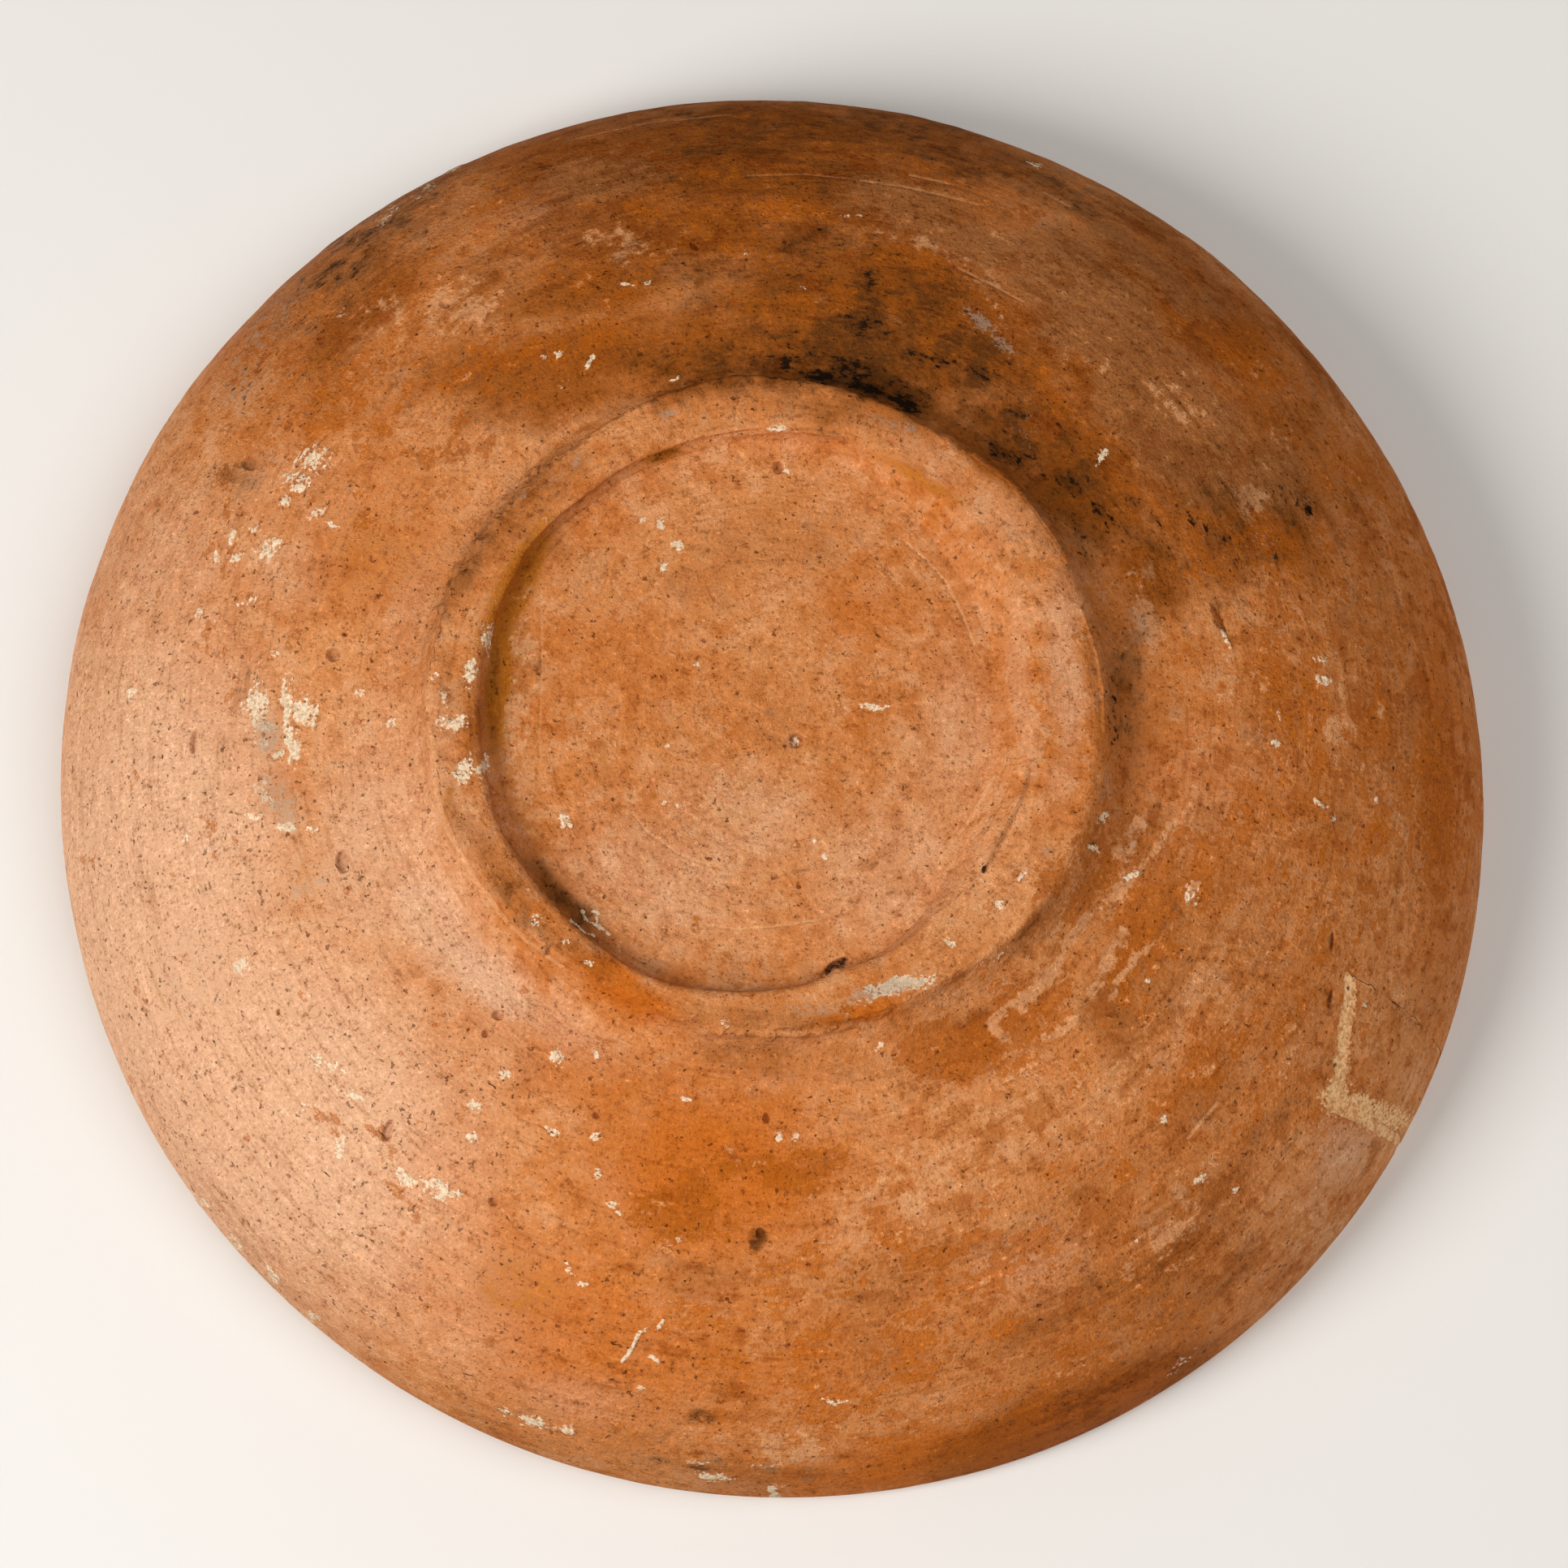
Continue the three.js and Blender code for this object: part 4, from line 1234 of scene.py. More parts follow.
DOTS = {
    "left": (280, 1050, 300, 480, 0, 0.75), "lower_left": (480, 1450, 300, 260, 30, 0.85),
    "bottom": (720, 1640, 220, 150, 20, 0.7), "upper_left": (360, 560, 180, 200, -30, 0.5),
    "floor": (950, 900, 330, 320, 0, 0.1), "top": (800, 330, 320, 140, 0, 0.4),
    "right": (1550, 800, 220, 350, 0, 0.35), "lower_right": (1400, 1400, 300, 260, -45, 0.28),
}


MARK_END = 1.6  # a mark has faded out at this many times its half width
MARK_FADE = 1.2


def faded(away):
    """1 well inside a mark, half at its edge and 0 outside it."""
    return np.clip((MARK_END - away) / MARK_FADE, 0, 1)


def spread(u, v, marks):
    """How strongly each point lies in the strongest of some oval marks."""
    found = np.zeros(len(u))
    for mark_u, mark_v, half_u, half_v, turn_by, strength in marks.values():
        reach = MARK_END * max(half_u, half_v)
        near = np.nonzero((abs(u - mark_u) < reach) & (abs(v - mark_v) < reach))[0]
        c, s = math.cos(math.radians(turn_by)), math.sin(math.radians(turn_by))
        du, dv = u[near] - mark_u, v[near] - mark_v
        away = np.hypot((du * c + dv * s) / half_u, (dv * c - du * s) / half_v)
        found[near] = np.maximum(found[near], strength * faded(away))
    return found


def traced(u, v, strokes):
    """The same for lines drawn from point to point, each with a half width."""
    found = np.zeros(len(u))
    for line, half_width, strength in strokes.values():
        reach = MARK_END * half_width
        for (from_u, from_v), (to_u, to_v) in zip(line, line[1:]):
            long_u, long_v = to_u - from_u, to_v - from_v
            near = np.nonzero(
                (u > min(from_u, to_u) - reach) & (u < max(from_u, to_u) + reach)
                & (v > min(from_v, to_v) - reach) & (v < max(from_v, to_v) + reach)
            )[0]
            du, dv = u[near] - from_u, v[near] - from_v
            share = np.clip((du * long_u + dv * long_v) / (long_u ** 2 + long_v ** 2), 0, 1)
            away = np.hypot(du - share * long_u, dv - share * long_v) / half_width
            found[near] = np.maximum(found[near], strength * faded(away))
    return found


def inside_share(points):
    """1 on the face that holds food, 0 on the underside."""
    radius = np.hypot(*unsagged(points[:, 0], points[:, 1]))
    above = points[:, 2] - (outside_z(radius) + inside_z(radius)) / 2
    return smooth(above, -INSIDE_BLEND, INSIDE_BLEND) * (radius < RIM_RADIUS - LIP_THICKNESS / 2)


def fine_marks(u, v):
    """How strongly each point lies in a small mark that needs finer faces."""
    lines = (traced(u, v, lines) for lines in (ROOTLETS, SCRATCHES, GROOVES, RIDGES))
    return np.maximum.reduce((spread(u, v, LIME), spread(u, v, PITS), spread(u, v, SMEAR), *lines))


def refine(piece):
    """Divides the faces that carry small marks, so that the marks keep their shape."""
    points = points_of(piece.data)
    marked = fine_marks(*pixels_of(points)) * (1 - inside_share(points)) > MARKED_FROM
    work = bmesh.new()
    work.from_mesh(piece.data)
    work.verts.ensure_lookup_table()
    chosen = [face for face in work.faces if any(marked[corner.index] for corner in face.verts)]
    edges = list({edge for face in chosen for edge in face.edges if edge.calc_length() > FINE_EDGE})
    bmesh.ops.subdivide_edges(work, edges=edges, cuts=FINE_CUTS, use_grid_fill=True)
    work.to_mesh(piece.data)
    work.free()


def press(piece):
    """Sinks pits, grooves and scratches into the surface, and raises lime, rootlets, ridges and crumbs."""
    mesh = piece.data
    points = points_of(mesh)
    u, v = pixels_of(points)
    lime = LIME_HEIGHT * smooth(spread(u, v, LIME), 0.4, 0.7)
    rootlets = ROOTLET_HEIGHT * smooth(traced(u, v, ROOTLETS), 0.4, 0.8)
    raised = np.maximum(lime, rootlets) * (1 + CRUST_GRAIN.at(points))
    raised += RIDGE_HEIGHT * smooth(traced(u, v, RIDGES), 0.1, 0.9)
    pits = PIT_DEPTH * smooth(spread(u, v, PITS), 0.4, 0.62)
    grooves = GROOVE_DEPTH * smooth(traced(u, v, GROOVES), 0.1, 0.9)
    scratches = SCRATCH_DEPTH * smooth(traced(u, v, SCRATCHES), 0.2, 0.7)
    sunk = np.maximum.reduce((pits, grooves, scratches))
    crumbs = CRUMBS.at(points) - CRUMB_HOLE_DEPTH * smooth(CRUMB_HOLES.at(points), 0.25, 0.7)
    crumbs *= spread(u, v, CRUMBLED)
    shift = (raised - sunk + crumbs) * (1 - inside_share(points)) * MM
    points += normals_of(mesh) * shift[:, None]
    move_points(mesh, np.clip(points, CAD_BOX[0], CAD_BOX[1]))


def paint(piece):
    """Stores on each vertex how much of every layer it carries, with that layer's own unevenness."""
    mesh = piece.data
    points = points_of(mesh)
    u, v = pixels_of(points)
    radius = np.hypot(*unsagged(points[:, 0], points[:, 1]))
    inside = inside_share(points)
    lip = smooth(points[:, 2], HEIGHT - LIP_WORN_FROM, HEIGHT - LIP_WORN_TO)
    jag_u, jag_v = JAG_U.at(points), JAG_V.at(points)
    far_u, far_v = u + jag_u, v + jag_v
    near_u, near_v = u + JAG_NEAR * jag_u, v + JAG_NEAR * jag_v
    broad = BROAD.at(points)
    mid = MID.at(points)
    small = SMALL.at(points)
    brushed = BRUSHED.at(wheel_way(points, BRUSHED_LENGTH))
    dabbed = DABBED.at(wheel_way(points, DABBED_LENGTH))
    streaks = STREAKS.at(wheel_way(points, STREAK_LENGTH))
    worn = np.maximum(spread(far_u, far_v, PALE), traced(far_u, far_v, PALE_STROKES))
    lime = spread(u + JAG_LIME * jag_u, v + JAG_LIME * jag_v, LIME)
    seen = {
        "tan": spread(far_u, far_v, TAN) + 0.05 * mid + 0.03 * small,
        "brown": spread(far_u, far_v, BROWN) * (1 + 0.3 * brushed) + 0.14 * brushed + 0.12 * small,
        "orange": spread(far_u, far_v, ORANGE) + 0.07 * mid + 0.04 * small,
        "slip": spread(far_u, far_v, SLIP) + 0.4 * dabbed + 0.24 * small,
        "pale": worn + 0.28 * dabbed + 0.25 * small,
        # a dull band painted darker as shade where the light falls off
        "dull_and_shade": spread(far_u, far_v, DULL_AND_SHADE) + 0.1 * small + 0.08 * mid,
        "soot": spread(near_u, near_v, SOOT) * (1 + 0.22 * streaks + 0.35 * small),
        # soil and soot stains, together with painted shade inside the foot ring
        "grime_and_shade": spread(far_u, far_v, GRIME_AND_SHADE) * (1 + 0.3 * small + 0.2 * mid) + 0.12 * small,
        "ochre": spread(near_u, near_v, OCHRE) + 0.16 * small,
        "lime": np.maximum(lime, traced(u, v, ROOTLETS)),
        "grey": spread(near_u, near_v, GREY) * (1 + 0.2 * small),
        # painted shade in pits and grooves
        "pit_shade": np.maximum(spread(u, v, PITS), 0.75 * traced(u, v, GROOVES)),
        # pale scratches, and a painted highlight along the ring's lit left edge
        "scratch_and_highlight": np.maximum(traced(u, v, SCRATCHES), traced(near_u, near_v, RIDGES)),
        "smear": spread(u, v, SMEAR),
        "dots": spread(u, v, DOTS),
        "crumb": spread(near_u, near_v, CRUMBLED),
        "dapple": 0.5 + (0.06 + spread(u, v, DAPPLED)) * (0.3 * dabbed + 0.16 * small),
        "mottle": 0.5 + 0.18 * broad + 0.12 * mid + 0.1 * brushed + 0.08 * small,
        "fleck": 0.5 + 0.5 * small,
    }
    unseen = {
        "tan": 0.35 + 0.3 * broad,
        "brown": 0.4 + 0.3 * brushed + 0.1 * streaks,
        "orange": 0.4 + 0.3 * mid,
        "slip": 0.4 + 0.2 * broad + 0.26 * dabbed + 0.12 * streaks,
        "pale": 0.3 + 0.2 * broad + 0.3 * dabbed,
        "grime_and_shade": 0.4 * smooth(radius, 56 * MM, 40 * MM) + 0.25 * mid,
        "lime": 0.42 * smooth(mid + broad, 0.9, 1.3),
        "ochre": 0.3 * smooth(broad, 0.3, 0.8),
        "dots": 0.4 + 0.2 * broad,
        "mottle": seen["mottle"],
        "fleck": seen["fleck"],
        "dapple": 0.5 + 0.2 * dabbed,
    }
    for name, values in seen.items():
        values = values * (1 - inside) + unseen.get(name, 0.0) * inside
        if name == "pale":
            values = np.maximum(values, 0.42 * lip + 0.2 * small)
        attribute = mesh.attributes.new(name, "FLOAT", "POINT")
        attribute.data.foreach_set("value", values.astype(np.float32))


def colour(red, green, blue):
    """A shader colour from values of 0 to 255 as a screen shows them."""
    def linear(value):
        value /= 255
        return value / 12.92 if value <= 0.04045 else ((value + 0.055) / 1.055) ** 2.4
    return linear(red), linear(green), linear(blue), 1.0


class Nodes:
    """Adds nodes to the tree of a material or a world."""

    def __init__(self, owner):
        owner.use_nodes = True
        self.nodes = owner.node_tree.nodes
        self.links = owner.node_tree.links

    def feed(self, socket, value):
        """Links a socket to another one, or sets its value."""
        if isinstance(value, bpy.types.NodeSocket):
            self.links.new(value, socket)
        else:
            socket.default_value = value

    def make(self, kind, inputs, **settings):
        node = self.nodes.new(kind)
        for name, value in settings.items():
            setattr(node, name, value)
        for name, value in inputs.items():
            self.feed(node.inputs[name], value)
        return node

    def math(self, operation, a, b=0.0):
        return self.make("ShaderNodeMath", {0: a, 1: b}, operation=operation).outputs[0]

    def sum_of(self, *parts):
        """Adds up values, each with its share."""
        total, *others = [self.math("MULTIPLY", value, share) for value, share in parts]
        for other in others:
            total = self.math("ADD", total, other)
        return total

    def step(self, value, low, high, top=1.0, bottom=0.0):
        """Goes smoothly from bottom at low to top at high."""
        inputs = {"Value": value, "From Min": low, "From Max": high, "To Min": bottom, "To Max": top}
        return self.make("ShaderNodeMapRange", inputs, interpolation_type="SMOOTHSTEP").outputs["Result"]

    def length(self, vector):
        return self.make("ShaderNodeVectorMath", {0: vector}, operation="LENGTH").outputs["Value"]

    def scaled(self, vector, by):
        return self.make("ShaderNodeVectorMath", {0: vector, "Scale": by}, operation="SCALE").outputs[0]

    def added(self, vector, other):
        return self.make("ShaderNodeVectorMath", {0: vector, 1: other}).outputs[0]

    def either(self, share, first, second):
        """A mix of two shaders."""
        return self.make("ShaderNodeMixShader", {0: share, 1: first, 2: second}).outputs["Shader"]

    def show(self, output, shader):
        self.links.new(shader, self.nodes[output].inputs["Surface"])


class Shade(Nodes):
    """Builds the nodes of one material of the plate."""

    def __init__(self, name):
        self.material = bpy.data.materials.new(name)
        super().__init__(self.material)
        self.shader = self.nodes["Principled BSDF"]
        self.place = self.nodes.new("ShaderNodeTexCoord").outputs["Object"]
        apart = self.make("ShaderNodeSeparateXYZ", {"Vector": self.place}).outputs
        flat = self.make("ShaderNodeCombineXYZ", {"X": apart["X"], "Y": apart["Y"]}).outputs[0]
        self.radius = self.length(flat)
        self.way = self.make("ShaderNodeVectorMath", {0: flat}, operation="NORMALIZE").outputs["Vector"]

    def mask(self, name):
        return self.make("ShaderNodeAttribute", {}, attribute_name=name).outputs["Fac"]

    def around(self, stretch):
        """Coordinates in which a texture is drawn out along the wheel's turning by about this much."""
        up = self.make("ShaderNodeCombineXYZ", {"Z": self.radius}).outputs[0]
        return self.added(self.scaled(self.way, DRAWN_OUT_AT / stretch), up)

    def noise(self, size, detail, roughness, at=None):
        inputs = {"Vector": at or self.place, "Scale": 1 / size, "Detail": detail, "Roughness": roughness}
        return self.make("ShaderNodeTexNoise", inputs).outputs["Fac"]

    def ragged(self, mask, texture, amount, soft, middle, top):
        """A mask whose edge follows a texture. A negative softness turns the mask round."""
        offset = self.math("MULTIPLY", self.math("SUBTRACT", texture, 0.5), amount)
        return self.step(self.math("ADD", mask, offset), middle - soft, middle + soft, top)

    def within(self, layer, texture, amount, soft, middle, top):
        """A ragged mask that keeps to the place of its layer's marks."""
        mask = self.mask(layer)
        share = self.ragged(mask, texture, amount, soft, middle, top)
        return self.math("MULTIPLY", share, self.step(mask, 0.1, 0.3))

    def bent(self, size, wobble):
        """Coordinates shaken by noise, for shapes that are not round."""
        shaken = self.make("ShaderNodeTexNoise", {"Vector": self.place, "Scale": 1 / size, "Detail": 0.0})
        return self.added(self.place, self.scaled(shaken.outputs["Color"], wobble))

    def specks(self, size, reach, share, at):
        """Small irregular dots: their spacing, greatest radius and how many of the places carry one."""
        cells = self.make("ShaderNodeTexVoronoi", {"Vector": at, "Scale": 1 / size})
        chance = self.make("ShaderNodeSeparateColor", {"Color": cells.outputs["Color"]}).outputs
        squared = self.math("MULTIPLY", chance["Green"], chance["Green"])
        inside = self.math("SUBTRACT", self.math("MULTIPLY", squared, reach), cells.outputs["Distance"])
        dot = self.step(inside, -0.02, 0.06)
        return self.math("MULTIPLY", dot, self.math("LESS_THAN", chance["Red"], share))

    def mix(self, share, a, b, blend="MIX"):
        node = self.make("ShaderNodeMix", {}, data_type="RGBA", blend_type=blend)
        for socket, value in zip((node.inputs[0], node.inputs[6], node.inputs[7]), (share, a, b)):
            self.feed(socket, value)
        return node.outputs[2]

    def toned(self, share, tint, by):
        """Makes a tint lighter or darker by factors of red, green and blue."""
        return self.mix(share, tint, (*by, 1.0), "MULTIPLY")

    def finish(self, tint, roughness, gloss, height, depth):
        """Joins up the shader, with a bump of this depth."""
        bump = self.make("ShaderNodeBump", {"Height": height, "Strength": 1.0, "Distance": depth})
        self.feed(self.shader.inputs["Base Color"], tint)
        self.feed(self.shader.inputs["Roughness"], roughness)
        self.feed(self.shader.inputs["Specular IOR Level"], gloss)
        self.feed(self.shader.inputs["Normal"], bump.outputs["Normal"])
        return self.material


class Wash(NamedTuple):
    """A tone that grows with its layer: where it starts and is full, how strong it gets, and its colour."""
    layer: str
    start: float
    full: float
    strength: float
    tint: tuple

    def share(self, s, textures):
        return s.step(s.mask(self.layer), self.start, self.full, self.strength)


class Coat(NamedTuple):
    """A tone whose edge follows a texture: how far, how softly, where, how strong, and its colour."""
    layer: str
    texture: str
    ragged: float
    soft: float
    middle: float
    strength: float
    tint: tuple

    def share(self, s, textures):
        mask = s.mask(self.layer)
        return s.ragged(mask, textures[self.texture], self.ragged, self.soft, self.middle, self.strength)


class Grain(NamedTuple):
    """Light or dark spots of a texture: where they start and are full, how strong, and their factors."""
    texture: str
    start: float
    full: float
    strength: float
    by: tuple


# The clay's own colour and what lies over it, from the lowest layer up
BARE_CLAY = (188, 108, 48)
TONES = (
    Wash("mottle", 0.15, 0.85, 1.0, (206, 136, 82)),
    Wash("fleck", 0.5, 0.95, 0.34, (216, 158, 112)),
    Wash("fleck", 0.44, 0.0, 0.34, (166, 86, 28)),
    Wash("tan", 0.1, 0.95, 0.88, (216, 167, 130)),
    Wash("orange", 0.1, 0.95, 0.88, (186, 94, 16)),
    Wash("brown", 0.15, 0.9, 0.88, (142, 72, 10)),
    Coat("slip", "patchy", 2.2, 0.08, 0.54, 0.74, (162, 82, 12)),
    Coat("ochre", "gritty", 1.6, 0.3, 0.5, 0.8, (172, 98, 12)),
    # Painted shade on a dull band towards the upper right and the top
    Coat("dull_and_shade", "patchy", 1.4, 0.2, 0.5, 0.8, (154, 95, 50)),
    Coat("pale", "patchy", 2.6, 0.2, 0.64, 0.6, (206, 149, 102)),
    # Soil and soot stains, and painted shade inside the foot ring
    Wash("grime_and_shade", 0.1, 1.0, 0.62, (104, 56, 14)),
    Coat("grime_and_shade", "smoky", 4.4, 0.3, 0.98, 0.65, (82, 46, 16)),
    Coat("crumb", "gritty", 4.8, 0.3, 1.0, 0.5, (116, 66, 26)),
    Wash("soot", 0.2, 1.15, 0.7, (62, 33, 8)),
    Coat("soot", "smoky", 5.0, 0.24, 0.88, 0.92, (24, 16, 8)),
)
# Dapples multiply the tones below them
DAPPLES = (
    Coat("dapple", "patchy", 0.7, 0.07, 0.63, 0.75, (1.2, 1.2, 1.18)),
    Coat("dapple", "patchy", 0.7, -0.07, 0.4, 0.8, (0.79, 0.69, 0.53)),
)
WHEEL_LIGHT = (1.35, 1.35, 1.4)
WHEEL_DARK = (0.8, 0.74, 0.68)
# Pale scratches, and a painted highlight along the ring's lit left edge
SCRATCHED_AND_HIGHLIGHT = Wash("scratch_and_highlight", 0.3, 0.7, 0.35, (224, 168, 116))
GRAINS = (
    Grain("grain", 0.55, 0.74, 1.0, (1.3, 1.38, 1.5)),
    Grain("grain", 0.44, 0.26, 1.0, (0.56, 0.48, 0.42)),
    Grain("crust", 0.46, 0.3, 0.95, (0.6, 0.51, 0.45)),
    Grain("crust", 0.53, 0.7, 0.95, (1.26, 1.3, 1.38)),
)
HOLE_DARK = (0.44, 0.36, 0.3)
SCORE_DARK = (0.5, 0.42, 0.36)
FLAKE_LIGHT = (1.4, 1.5, 1.7)
# Painted shade in pits and grooves
PIT_SHADE = Wash("pit_shade", 0.45, 0.75, 0.3, (84, 42, 14))
LIME_DARK, LIME_LIGHT = (206, 176, 138), (238, 216, 186)
GREY_CRUST = (160, 138, 116)
SMEAR_DARK, SMEAR_LIGHT = (216, 158, 100), (250, 202, 146)
DRAWN_OUT_AT = 85 * MM  # the radius where a texture is drawn out along the wheel by just its stretch
WHEEL_LIGHT_FROM, WHEEL_LIGHT_TO = 60 * MM, 104 * MM
CLAY_ROUGHNESS = 0.96
SLIP_SMOOTHER = 0.14
CLAY_GLOSS = 0.06
CLAY_BUMP = 0.55 * MM


def clay_textures(s):
    grain = s.noise(0.55 * MM, 2.0, 0.7)
    crust = s.noise(1.5 * MM, 4.0, 0.8)
    wheel = s.noise(0.9 * MM, 2.0, 0.65, s.around(14.0))
    scored = s.noise(0.75 * MM, 2.0, 0.7, s.around(3.0))
    gritty = s.sum_of((crust, 0.5), (grain, 0.5))
    return {
        "grain": grain, "crust": crust, "wheel": wheel, "scored": scored, "gritty": gritty,
        "sandy": s.noise(1.0 * MM, 2.0, 0.55),
        "patchy": s.sum_of((crust, 0.7), (wheel, 0.3)),
        "flaky": s.sum_of((scored, 0.4), (gritty, 0.6)),
        "smoky": s.sum_of((scored, 0.6), (crust, 0.4)),
    }


def fired_clay(name):
    """Sandy terracotta with slip, wear, soot, soil and lime, and painted shade and highlights, each where
    its layer says.
    """
    s = Shade(name)
    textures = clay_textures(s)
    grain, wheel, sandy = textures["grain"], textures["wheel"], textures["sandy"]
    gritty = textures["gritty"]

    def laid(tone, tint):
        return s.mix(tone.share(s, textures), tint, colour(*tone.tint))

    tint = colour(*BARE_CLAY)
    for tone in TONES:
        tint = laid(tone, tint)
    for dapple in DAPPLES:
        tint = s.toned(dapple.share(s, textures), tint, dapple.tint)
    outward = s.step(s.radius, WHEEL_LIGHT_FROM, WHEEL_LIGHT_TO, 0.4)
    tint = s.toned(s.math("MULTIPLY", s.step(wheel, 0.54, 0.74), outward), tint, WHEEL_LIGHT)
    tint = s.toned(s.step(wheel, 0.46, 0.3, 0.7), tint, WHEEL_DARK)
    tint = laid(SCRATCHED_AND_HIGHLIGHT, tint)
    for spots in GRAINS:
        share = s.step(textures[spots.texture], spots.start, spots.full, spots.strength)
        tint = s.toned(share, tint, spots.by)

    dotted = s.math("MULTIPLY", s.mask("dots"), 0.035)
    holes = s.step(s.math("ADD", sandy, dotted), 0.68, 0.76)
    scores = s.step(s.math("ADD", textures["scored"], dotted), 0.7, 0.79)
    flakes = s.step(sandy, 0.3, 0.25)
    tint = s.toned(s.math("MULTIPLY", holes, 0.9), tint, HOLE_DARK)
    tint = s.toned(s.math("MULTIPLY", scores, 0.8), tint, SCORE_DARK)
    tint = s.toned(s.math("MULTIPLY", flakes, 0.8), tint, FLAKE_LIGHT)
    # painted shade in pits and grooves
    tint = laid(PIT_SHADE, tint)
    lime_tint = s.mix(s.step(grain, 0.35, 0.65), colour(*LIME_DARK), colour(*LIME_LIGHT))
    tint = s.mix(s.within("lime", textures["flaky"], 5.0, 0.16, 0.66, 0.88), tint, lime_tint)
    tint = s.mix(s.within("grey", gritty, 4.0, 0.2, 0.7, 0.55), tint, colour(*GREY_CRUST))
    smear_tint = s.mix(s.step(grain, 0.36, 0.62), colour(*SMEAR_DARK), colour(*SMEAR_LIGHT))
    tint = s.mix(s.within("smear", gritty, 5.0, 0.3, 0.62, 0.8), tint, smear_tint)

    roughness = s.math("SUBTRACT", CLAY_ROUGHNESS, s.step(s.mask("slip"), 0.3, 0.7, SLIP_SMOOTHER))
    height = s.sum_of((grain, 0.4), (wheel, 0.25), (textures["crust"], 0.6), (holes, -0.5), (scores, -0.35))
    return s.finish(tint, roughness, CLAY_GLOSS, height, CLAY_BUMP)


PLASTER_DARK, PLASTER_LIGHT = (206, 138, 80), (250, 196, 138)
PLASTER_GRAIN = (158, 98, 52)
PLASTER_SOIL = (118, 84, 54)
PLASTER_ROUGHNESS = 0.95
PLASTER_GLOSS = 0.2
PLASTER_BUMP = 0.7 * MM


def plaster(name):
    """Rough cream filler, stained with soil."""
    s = Shade(name)
    crust = s.noise(1.6 * MM, 5.0, 0.68)
    grain = s.noise(0.5 * MM, 3.0, 0.65)
    soil = s.specks(2.2 * MM, 0.35, 0.6, s.bent(0.6 * MM, 0.5 * MM))
    tint = s.mix(s.step(crust, 0.36, 0.62), colour(*PLASTER_DARK), colour(*PLASTER_LIGHT))
    tint = s.mix(s.step(grain, 0.5, 0.3, 0.7), tint, colour(*PLASTER_GRAIN))
    tint = s.mix(soil, tint, colour(*PLASTER_SOIL))
    height = s.sum_of((crust, 0.7), (grain, 0.4))
    return s.finish(tint, PLASTER_ROUGHNESS, PLASTER_GLOSS, height, PLASTER_BUMP)


clay = fired_clay("terracotta")
ring_clay = fired_clay("foot_terracotta")
slip_clay = fired_clay("slip")
filler = plaster("fill")
for piece in (dish, sherd, ring):
    refine(piece)
    press(piece)
for piece in (dish, sherd, ring, slip):
    paint(piece)
for piece in (dish, sherd, fill, ring, slip):
    piece.data.shade_smooth()
    piece.data.set_sharp_from_angle(angle=SHARP_ANGLE)
for piece, node, slot, finish in (
    (dish, "dish", "terracotta", clay),
    (sherd, "rim_sherd", "terracotta", clay),
    (fill, "joint_fill", "fill", filler),
    (ring, "foot_ring", "foot_terracotta", ring_clay),
    (slip, "luting_slip", "slip", slip_clay),
):
    piece.data.materials.clear()
    piece.data.materials.append(finish)
    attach(piece, "root")
    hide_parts(node)


# The stage: a pale floor under the foot, seen only from above, and a pale ground above the rim, seen only
# from below, as in the photograph. Neither stops the light.
STAGE_REACH = 4.0
STAGE_FLOOR_Z = -0.06 * MM
SCREEN_Z = -0.03 * MM
GROUND_Z = HEIGHT + 0.4 * MM
BACKDROP = colour(226, 222, 216)
FADE_FROM = 0.25  # how far from the plate the floor starts to fade into the backdrop
FADE_TO = 1.4
WORLD_LEVEL = 0.22
SCREEN_SHADE = 0.08  # the share of that light under the plate
SCREEN_SHADE_FROM = 0.3 * RIM_RADIUS
SCREEN_SHADE_TO = 2.2 * RIM_RADIUS


def one_sided(name):
    """A matt pale surface that is clear from behind and fades into the backdrop."""
    material = bpy.data.materials.new(name)
    s = Nodes(material)
    matt = s.nodes["Principled BSDF"]
    for socket, value in (("Base Color", BACKDROP), ("Roughness", 1.0), ("Specular IOR Level", 0.0)):
        matt.inputs[socket].default_value = value
    glow = s.make("ShaderNodeEmission", {"Color": BACKDROP}).outputs["Emission"]
    clear = s.make("ShaderNodeBsdfTransparent", {}).outputs["BSDF"]
    side = s.make("ShaderNodeNewGeometry", {}).outputs
    fade = s.step(s.length(side["Position"]), FADE_FROM, FADE_TO)
    front = s.either(fade, matt.outputs["BSDF"], glow)
    s.show("Material Output", s.either(side["Backfacing"], front, clear))
    return material


def soft_light():
    """A plain glow seen from below only, dimmer under the plate."""
    material = bpy.data.materials.new("soft_light")
    s = Nodes(material)
    s.nodes.remove(s.nodes["Principled BSDF"])
    side = s.make("ShaderNodeNewGeometry", {}).outputs
    far = s.length(side["Position"])
    level = s.step(far, SCREEN_SHADE_FROM, SCREEN_SHADE_TO, WORLD_LEVEL, SCREEN_SHADE * WORLD_LEVEL)
    glow = s.make("ShaderNodeEmission", {"Strength": level}).outputs["Emission"]
    clear = s.make("ShaderNodeBsdfTransparent", {}).outputs["BSDF"]
    s.show("Material Output", s.either(side["Backfacing"], clear, glow))
    return material


def stage_plane(name, z, faces_up, material):
    reach = STAGE_REACH
    around = [(-reach, -reach, z), (reach, -reach, z), (reach, reach, z), (-reach, reach, z)]
    order = [0, 1, 2, 3] if faces_up else [3, 2, 1, 0]
    plane = object_of(name, mesh_of(name, around, [order]))
    plane.data.materials.append(material)
    plane.visible_shadow = False
    plane.visible_diffuse = False
    return plane


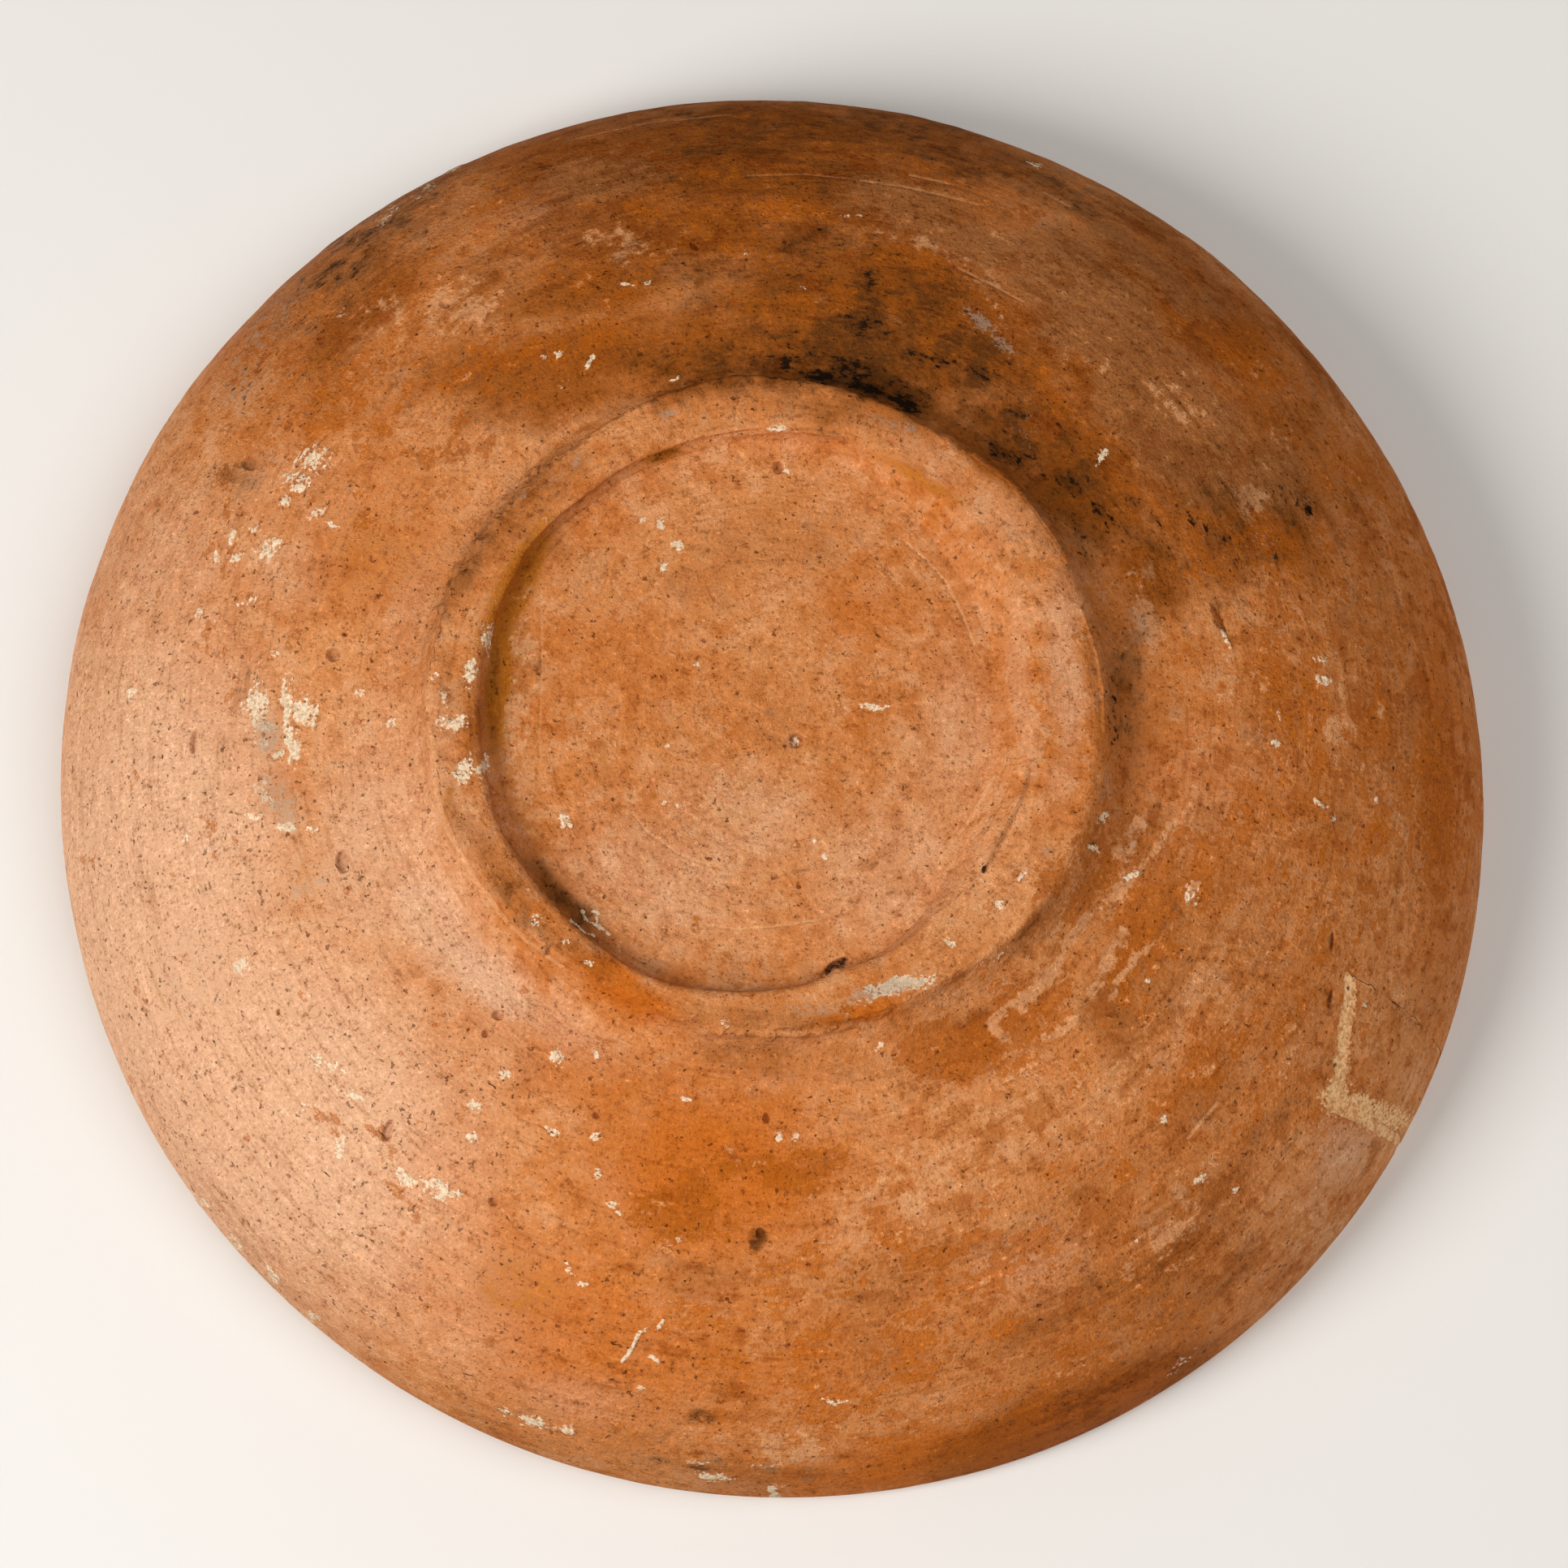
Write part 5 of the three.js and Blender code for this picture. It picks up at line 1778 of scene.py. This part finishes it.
stage_plane("floor", STAGE_FLOOR_Z, True, one_sided("pale_floor"))
stage_plane("ground", GROUND_Z, False, one_sided("pale_ground"))

# What the floor sees above it is plain soft light, so that the clay doesn't redden it. Nothing else sees
# the screen.
screen = stage_plane("floor_screen", SCREEN_Z, True, soft_light())
screen.visible_diffuse = True
screen.visible_camera = False
screen.visible_glossy = False
screen.visible_transmission = False

# The camera sees the backdrop, and everything else a dimmer white
world = bpy.data.worlds.new("studio")
bpy.context.scene.world = world
sky = Nodes(world)
around = sky.nodes["Background"]
around.inputs["Color"].default_value = (1.0, 1.0, 1.0, 1.0)
around.inputs["Strength"].default_value = WORLD_LEVEL
backdrop = sky.make("ShaderNodeBackground", {"Color": BACKDROP, "Strength": 1.0}).outputs["Background"]
to_camera = sky.make("ShaderNodeLightPath", {}).outputs["Is Camera Ray"]
sky.show("World Output", sky.either(to_camera, around.outputs["Background"], backdrop))

# Round soft lamps that face the plate: direction, distance, size and power
LAMP_TARGET = Vector((0, 0, 20 * MM))
LAMPS = {
    "key_below": ((-0.75, 0.4, -0.7), 1.3, 0.7, 16.0),
    "fill_below": ((0.42, 0.12, -0.9), 1.5, 1.1, 9.5),
    "key_above": ((-0.6, -0.3, 0.9), 2.2, 1.3, 30.0),
    "fill_above": ((0.7, 0.5, 0.8), 2.2, 1.4, 16.0),
}
for name, (toward, distance, size, power) in LAMPS.items():
    lamp = bpy.data.lights.new(name, "AREA")
    lamp.shape = "DISK"
    lamp.size = size
    lamp.energy = power
    holder = object_of(name, lamp)
    way = Vector(toward).normalized()
    holder.location = LAMP_TARGET + way * distance
    holder.rotation_euler = way.to_track_quat("Z", "Y").to_euler()

camera_data = bpy.data.cameras.new("camera")
camera_data.sensor_width = SENSOR_WIDTH
camera_data.lens = PIXELS_PER_METRE * CAMERA_DISTANCE * SENSOR_WIDTH / PHOTO_SIZE
camera = object_of("camera", camera_data)
off_u = (PHOTO_SIZE / 2 - MIDDLE_U) / PIXELS_PER_METRE
off_v = (PHOTO_SIZE / 2 - MIDDLE_V) / PIXELS_PER_METRE
place = MIDDLE + CAMERA_BACK * CAMERA_DISTANCE + CAMERA_RIGHT * off_u + CAMERA_DOWN * off_v
turn = Matrix((CAMERA_RIGHT, -CAMERA_DOWN, CAMERA_BACK)).transposed().to_4x4()
camera.matrix_world = Matrix.Translation(Vector(place)) @ turn
bpy.context.scene.camera = camera
bpy.context.scene.view_settings.view_transform = "Standard"

bpy.context.view_layer.update()
